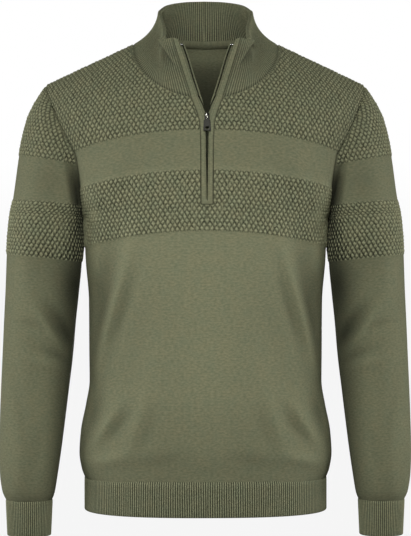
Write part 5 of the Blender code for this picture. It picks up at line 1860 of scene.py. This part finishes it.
@dataclass
class ZipTapes:
    """The woven tapes behind the plackets, each with its moulded coil along the inner edge.

    Attributes:
        line: The edge that they follow.
        cover: How far a tape's outer edge lies from the line.
        depth, wall: How far behind the cloth's face it lies, and its thickness.
        pitch: Distance from one turn of the coil to the next.
        tooth, stop: Sizes of a turn and of a top stop: across, along and out.
        stop_lift: How much higher than the coil a stop sits.
        edge: Width of the tape that shows beyond the coil where the zip is open.
        edge_from: Heights between which it comes out.
        edge_lift: How far that edge is raised.
        rows, columns: Cells along and across.
        flat_width: Width of the tape; not used.
    """

    line: ZipLine
    cover: float = 0.0020
    depth: float = -0.0034
    wall: float = 0.0012
    pitch: float = 0.0015
    tooth: Triple = (0.0019, 0.0009, 0.0016)
    stop: Triple = (0.0026, 0.0022, 0.0022)
    stop_lift: float = 0.0016
    edge: float = 0.0022
    edge_from: Span = (-0.104, -0.085)
    edge_lift: float = 0.0020
    rows: int = 150
    columns: int = 12
    flat_width: float = 0.0100

    OVERHANG, COIL_LIFT = 0.0002, 0.0006   # how far the coil passes the tape's edge and rises over it
    STEP = 0.0005                          # reach of the difference that gives a block its direction
    ROUNDING = 0.00028

    @property
    def top(self) -> float:
        """Distance up the line to the tape's upper end."""
        return self.line.length - TAPE_SLANT * self.line.coil_reach(np.array([self.line.length]))[0]

    def build(self) -> list[Piece]:
        """Make both tapes with their coils and top stops."""
        mesh = Bolt(self.columns, self.rows).mesh("zip_tape_left")
        grid = mesh_places(mesh)
        place = grid[:, 1] / self.rows * self.top
        far = self.line.coil_reach(place)
        reach = self.cover + (far - self.cover) * grid[:, 0] / self.columns
        raised = ramp(reach - far + self.edge, 0, 0.0008) * ramp(self.line.height(place), *self.edge_from)
        lift = self.depth + self.edge_lift * raised
        points = self.line.at(place, reach, np.where(on_outside(grid), lift, lift - self.wall))
        # Painted highlight on the tape's raised edge.
        dress_mesh(mesh, points, np.stack([reach, place], -1), -0.5 * raised)
        close_mesh(mesh)
        turns = np.arange(self.pitch, self.top - 2 * self.pitch, self.pitch)
        coil = self._blocks("coil_left", turns, self.tooth)
        stop = self._blocks("stop_left", np.array([self.top - 1.2 * self.pitch]), self.stop, self.stop_lift)
        pieces = []
        for (name, tape), (coil_name, teeth) in zip(both_sides("zip_tape_left", mesh),
                                                    both_sides("coil_left", coil)):
            piece = show(f"{name}_web", tape, TAPE, Place("garment", "tape", (name,)))
            pieces.append(piece)
            pieces.append(show(coil_name, teeth, COIL, Place("garment", "tape", ())))
        for name, shape in both_sides("stop_left", stop):
            pieces.append(show(f"top_{name}", shape, STOP, Place("garment", "metal", ())))
        return pieces

    def _blocks(self, name: str, places: Array, size: Triple, lift: float = 0.0) -> Mesh:
        """Small rounded blocks along the tape as one mesh: the coil's turns, or a stop.

        Args:
            name: Name of the mesh.
            places: Distance up the line of each block.
            size: Size of a block across, along and out of the tape.
            lift: How much higher than the coil the blocks sit.

        Returns:
            The blocks' mesh.
        """
        teeth = bmesh.new()
        reach = (self.line.coil_reach(places) - self.tooth[0] / 2 + self.OVERHANG
                 - self.edge * ramp(self.line.height(places), *self.edge_from))
        out = np.full_like(places, self.depth + self.COIL_LIFT + lift)
        spots = self.line.at(places, reach, out)
        nearby = self.line.at(places + self.STEP, reach, out)
        for spot, near, way in zip(spots, nearby, read_rows(places, self.line.place, self.line.across)):
            across = Vector(way)
            along = (Vector(near) - Vector(spot)).normalized()
            turn = Matrix((across, along, across.cross(along).normalized())).transposed().to_4x4()
            scale = Matrix.Diagonal((*size, 1))
            bmesh.ops.create_cube(teeth, size=1.0, matrix=Matrix.Translation(Vector(spot)) @ turn @ scale)
        bmesh.ops.bevel(teeth, geom=list(teeth.edges), affect="EDGES", segments=1, offset=self.ROUNDING,
                        profile=0.5, material=-1)
        bmesh.ops.recalc_face_normals(teeth, faces=teeth.faces)
        return as_mesh(teeth, name)


@dataclass
class MetalPart:
    """A metal part of the zip, taken over from its solid with its edges rounded.

    Attributes:
        node: The solid.
        body: Body that it rides on.
        finish: Its finish.
        rounding: Width of the rounded edges.
    """

    node: str
    body: str
    finish: PlainFinish
    rounding: float = 0.00022

    JOIN = 0.000005
    FLAT_ANGLE, SHARP_ANGLE = math.radians(2), math.radians(25)

    def build(self) -> Piece:
        """Copy the solid, merge it and round its edges."""
        part = bmesh.new()
        part.from_mesh(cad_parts[self.node].data)
        bmesh.ops.remove_doubles(part, verts=part.verts, dist=self.JOIN)
        bmesh.ops.dissolve_limit(part, angle_limit=self.FLAT_ANGLE, verts=part.verts, edges=part.edges)
        sharp = [e for e in part.edges if e.is_manifold and e.calc_face_angle(0) > self.SHARP_ANGLE]
        bmesh.ops.bevel(part, geom=sharp, affect="EDGES", segments=2, offset=self.rounding, profile=0.5,
                        material=-1, clamp_overlap=True)
        bmesh.ops.recalc_face_normals(part, faces=part.faces)
        mesh = as_mesh(part, self.node)
        return show(f"{self.node}_metal", mesh, self.finish, Place(self.body, "metal", (self.node,)))


@dataclass
class NeckTape:
    """The plain strip that covers the neck seam inside the back.

    Attributes:
        reach: Share of the half panel that it covers.
        wall: Its thickness.
        above, below: How far it reaches over the seam and under it.
        inset: How far inside the back's face it lies, at the seam and at its lower edge.
        columns, rows: Cells along and down.
        flat: Length and width of the cut that shows; not used.
    """

    reach: float = 4 / 9
    wall: float = 0.0008
    above: float = 0.0020
    below: float = 0.0080
    inset: Span = (0.0048, 0.0028)
    columns: int = 60
    rows: int = 8
    flat: Span = (0.24, 0.0100)

    STEP = 0.004                           # reach of the difference that gives the seam's direction
    HALF_LENGTH = 0.3
    # Painted light and shade on the strip: a little shade over all, painted light below the seam where the
    # strip shades itself, painted shade towards its ends and on its wrong side.
    TONE, LOW_TONE, END_TONE, BACK_TONE = 0.05, -0.60, 0.45, 0.6

    def build(self) -> Piece:
        """Make the strip from the back's own form, moved in."""
        mesh = Bolt(self.columns, self.rows).mesh("neck_tape")
        grid = mesh_places(mesh)
        offset = (grid[:, 0] / self.columns * 2 - 1) * self.reach
        down = -self.above + (self.above + self.below) * grid[:, 1] / self.rows
        across = np.abs(offset)
        top = np.zeros_like(across)
        seam = panel_points(across, top, Side.BACK)
        turn = np.interp(across, np.linspace(0, NECK_PART, NeckSeam.STEPS), NECK_SEAM.turn[:NeckSeam.STEPS])
        upward = unit(collar_points(turn, np.full_like(turn, 0.1)) - seam)
        downward = unit(panel_points(across, np.full_like(across, 0.03), Side.BACK) - seam)
        way = np.where((down > 0)[:, None], downward, -upward)
        along = (panel_points(across + self.STEP, top, Side.BACK)
                 - panel_points(np.maximum(across - self.STEP, 0), top, Side.BACK))
        inward = unit(np.cross(way, along))
        inward = inward * -np.sign(inward[:, 1:2].sum())
        outer = on_outside(grid)
        edge = np.minimum(down + self.above, self.below - down)
        rest = np.interp(down, [0, self.below], self.inset)
        into = rest + np.where(outer, self.wall - 0.0006 * np.exp(-edge / 0.0006), 0)
        points = seam + way * down[:, None] + inward * into[:, None]
        points[:, 0] *= np.where(offset < 0, -1, 1)
        # Painted light and shade on the strip's face.
        tone = (self.TONE + self.LOW_TONE * ramp(down, 0.0002, 0.0020)
                + self.END_TONE * ramp(across, 0.05, 0.35))
        measures = np.stack([offset * self.HALF_LENGTH, down], -1)
        dress_mesh(mesh, points, measures, np.where(outer, tone, self.BACK_TONE))
        close_mesh(mesh)
        piece = show("neck_tape_strip", mesh, FACING, Place("garment", "tape", ("neck_tape",)))
        return piece


# ---------------------------------------------------------------- studio
@dataclass
class Studio:
    """A plain pale surround, soft light from front and back and a strip of light at each side.

    Attributes:
        distance, centre_z, camera_x: Where the camera stands in front of the garment.
        span: Width of the view at the garment.
        ground_z, radius, corner, wall_z: Floor, reach, rounding and top of the surround.
        glow, glow_low: The surround's brightness as seen, above and near the floor.
        light: Its brightness as it lights the garment, which is the world's too.
    """

    distance: float = 2.60
    centre_z: float = -0.321
    camera_x: float = -0.045
    span: float = 0.772
    ground_z: float = -1.25
    radius: float = 8.0
    corner: float = 2.0
    wall_z: float = 9.0
    glow: float = 1.0
    glow_low: float = 0.915
    light: float = 0.10

    SENSOR = 36.0
    FAR = 60.0
    GLOW_HEIGHTS = {"From Min": -0.5, "From Max": 0.3}
    LIGHTS = (
        # name, place, aimed at, width, height, spread, power
        ("front", (-0.16, -2.55, 0.60), (0.0, 0.0, -0.43), 0.5, 0.5, 34.0, 3.15),
        ("back", (0.35, 2.75, 0.45), (0.0, 0.0, -0.38), 1.0, 1.0, 50.0, 5.0),
        ("box_left", (2.45, 0.30, -0.30), (0.0, 0.0, -0.50), 0.7, 1.6, 180.0, 36.0),
        ("box_right", (-2.45, 0.30, -0.30), (0.0, 0.0, -0.50), 0.7, 1.6, 180.0, 36.0),
    )

    def build(self) -> None:
        """Set up camera, surround, world and lights."""
        self._camera()
        self._surround()
        self._world()
        self._lights()
        bpy.context.scene.view_settings.view_transform = "Standard"

    def _camera(self) -> None:
        """Stand the camera in front, level with the middle of the garment."""
        data = bpy.data.cameras.new("camera")
        data.sensor_width = self.SENSOR
        data.lens = self.SENSOR * self.distance / self.span
        data.clip_end = self.FAR
        camera = bpy.data.objects.new("camera", data)
        camera.location = (self.camera_x, -self.distance, self.centre_z)
        target = Vector((0.0, 0.0, self.centre_z))
        camera.rotation_euler = (target - camera.location).to_track_quat("-Z", "Y").to_euler()
        bpy.context.scene.collection.objects.link(camera)
        bpy.context.scene.camera = camera

    def _surround(self) -> None:
        """Build a round floor that curves up into a wall."""
        bowl = bmesh.new()
        bend, start = self.corner, self.radius - self.corner
        profile = [(0.0, self.ground_z), (start, self.ground_z)]
        profile += [(start + bend * math.sin(a), self.ground_z + bend - bend * math.cos(a))
                    for a in np.linspace(0.2, math.pi / 2, 7)]
        profile.append((self.radius, self.wall_z))
        points = [bowl.verts.new((r, 0.0, z)) for r, z in profile]
        edges = [bowl.edges.new(pair) for pair in zip(points, points[1:])]
        bmesh.ops.spin(bowl, geom=points + edges, cent=(0, 0, 0), axis=(0, 0, 1), angle=2 * math.pi,
                       steps=48, use_merge=True)
        bmesh.ops.remove_doubles(bowl, verts=bowl.verts, dist=0.0001)
        bmesh.ops.recalc_face_normals(bowl, faces=bowl.faces)
        mesh = as_mesh(bowl, "surround")
        mesh.shade_smooth()
        mesh.materials.append(self._pale())
        surround = bpy.data.objects.new("surround", mesh)
        bpy.context.scene.collection.objects.link(surround)

    def _pale(self) -> bpy.types.Material:
        """The surround's material: it shows bright and lights the garment only a little."""
        made = bpy.data.materials.new("pale_surround")
        made.use_nodes = True
        tree = made.node_tree
        tree.nodes.clear()
        output = tree.nodes.new("ShaderNodeOutputMaterial")
        glow = tree.nodes.new("ShaderNodeEmission")
        path = tree.nodes.new("ShaderNodeLightPath")
        place = tree.nodes.new("ShaderNodeTexCoord")
        height = tree.nodes.new("ShaderNodeSeparateXYZ")
        tree.links.new(place.outputs["Object"], height.inputs[0])
        tint = tree.nodes.new("ShaderNodeMapRange")
        set_inputs(tint, {**self.GLOW_HEIGHTS, "To Min": self.glow_low, "To Max": self.glow})
        tree.links.new(height.outputs["Z"], tint.inputs["Value"])
        strength = tree.nodes.new("ShaderNodeMapRange")
        strength.inputs["To Min"].default_value = self.light
        tree.links.new(tint.outputs["Result"], strength.inputs["To Max"])
        tree.links.new(path.outputs["Is Camera Ray"], strength.inputs["Value"])
        tree.links.new(strength.outputs["Result"], glow.inputs["Strength"])
        tree.links.new(glow.outputs["Emission"], output.inputs["Surface"])
        return made

    def _world(self) -> None:
        """Light everything faintly from all sides."""
        world = bpy.data.worlds.new("studio")
        world.use_nodes = True
        background = world.node_tree.nodes["Background"]
        set_inputs(background, {"Color": (1, 1, 1, 1), "Strength": self.light})
        bpy.context.scene.world = world

    def _lights(self) -> None:
        """Hang the lights of the table, unseen by the camera."""
        for name, place, aim, width, height, spread, power in self.LIGHTS:
            data = bpy.data.lights.new(name, "AREA")
            data.shape = "RECTANGLE"
            data.size, data.size_y = width, height
            data.spread = math.radians(spread)
            data.energy = power
            lamp = bpy.data.objects.new(name, data)
            lamp.location = place
            lamp.rotation_euler = (Vector(aim) - Vector(place)).to_track_quat("-Z", "Y").to_euler()
            lamp.visible_camera = False
            bpy.context.scene.collection.objects.link(lamp)


# The hem band's dull is painted shade: it is drawn darker than the cuffs, low on the garment.
HEM = RibTube("hem_band", 290, 5, 0.0, (0.1725, 0.1140, 0.1040), (0.1725, 0.1135, 0.1035),
              HEM_TOP_Z - 0.0002, HEM_BOTTOM_Z, SECTION_POWER, (0.94, 0.048), dull=0.18)
CUFF = RibTube("cuff_left", 70, 8, 0.2535, (0.0325, 0.0300, 0.0300), (0.0302, 0.0275, 0.0275),
               CUFF_TOP_Z - 0.0002, CUFF_BOTTOM_Z, 2.0, (0.20, 0.052), height_rows=11,
               hangs_on="sleeve_left_knit")


def main() -> None:
    """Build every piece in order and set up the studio."""
    Collar().build()
    BodyPanel(Side.FRONT).build("front")
    BodyPanel(Side.BACK).build("back")
    Sleeves().build()
    HEM.build()
    CUFF.build()
    line = ZipLine()
    Placket(line).build()
    ZipTapes(line).build()
    MetalPart("zip_slider", "garment", CROWN).build()
    MetalPart("zip_pull", "pull", METAL).build()
    NeckTape().build()
    Studio().build()


if __name__ == "__main__":
    main()
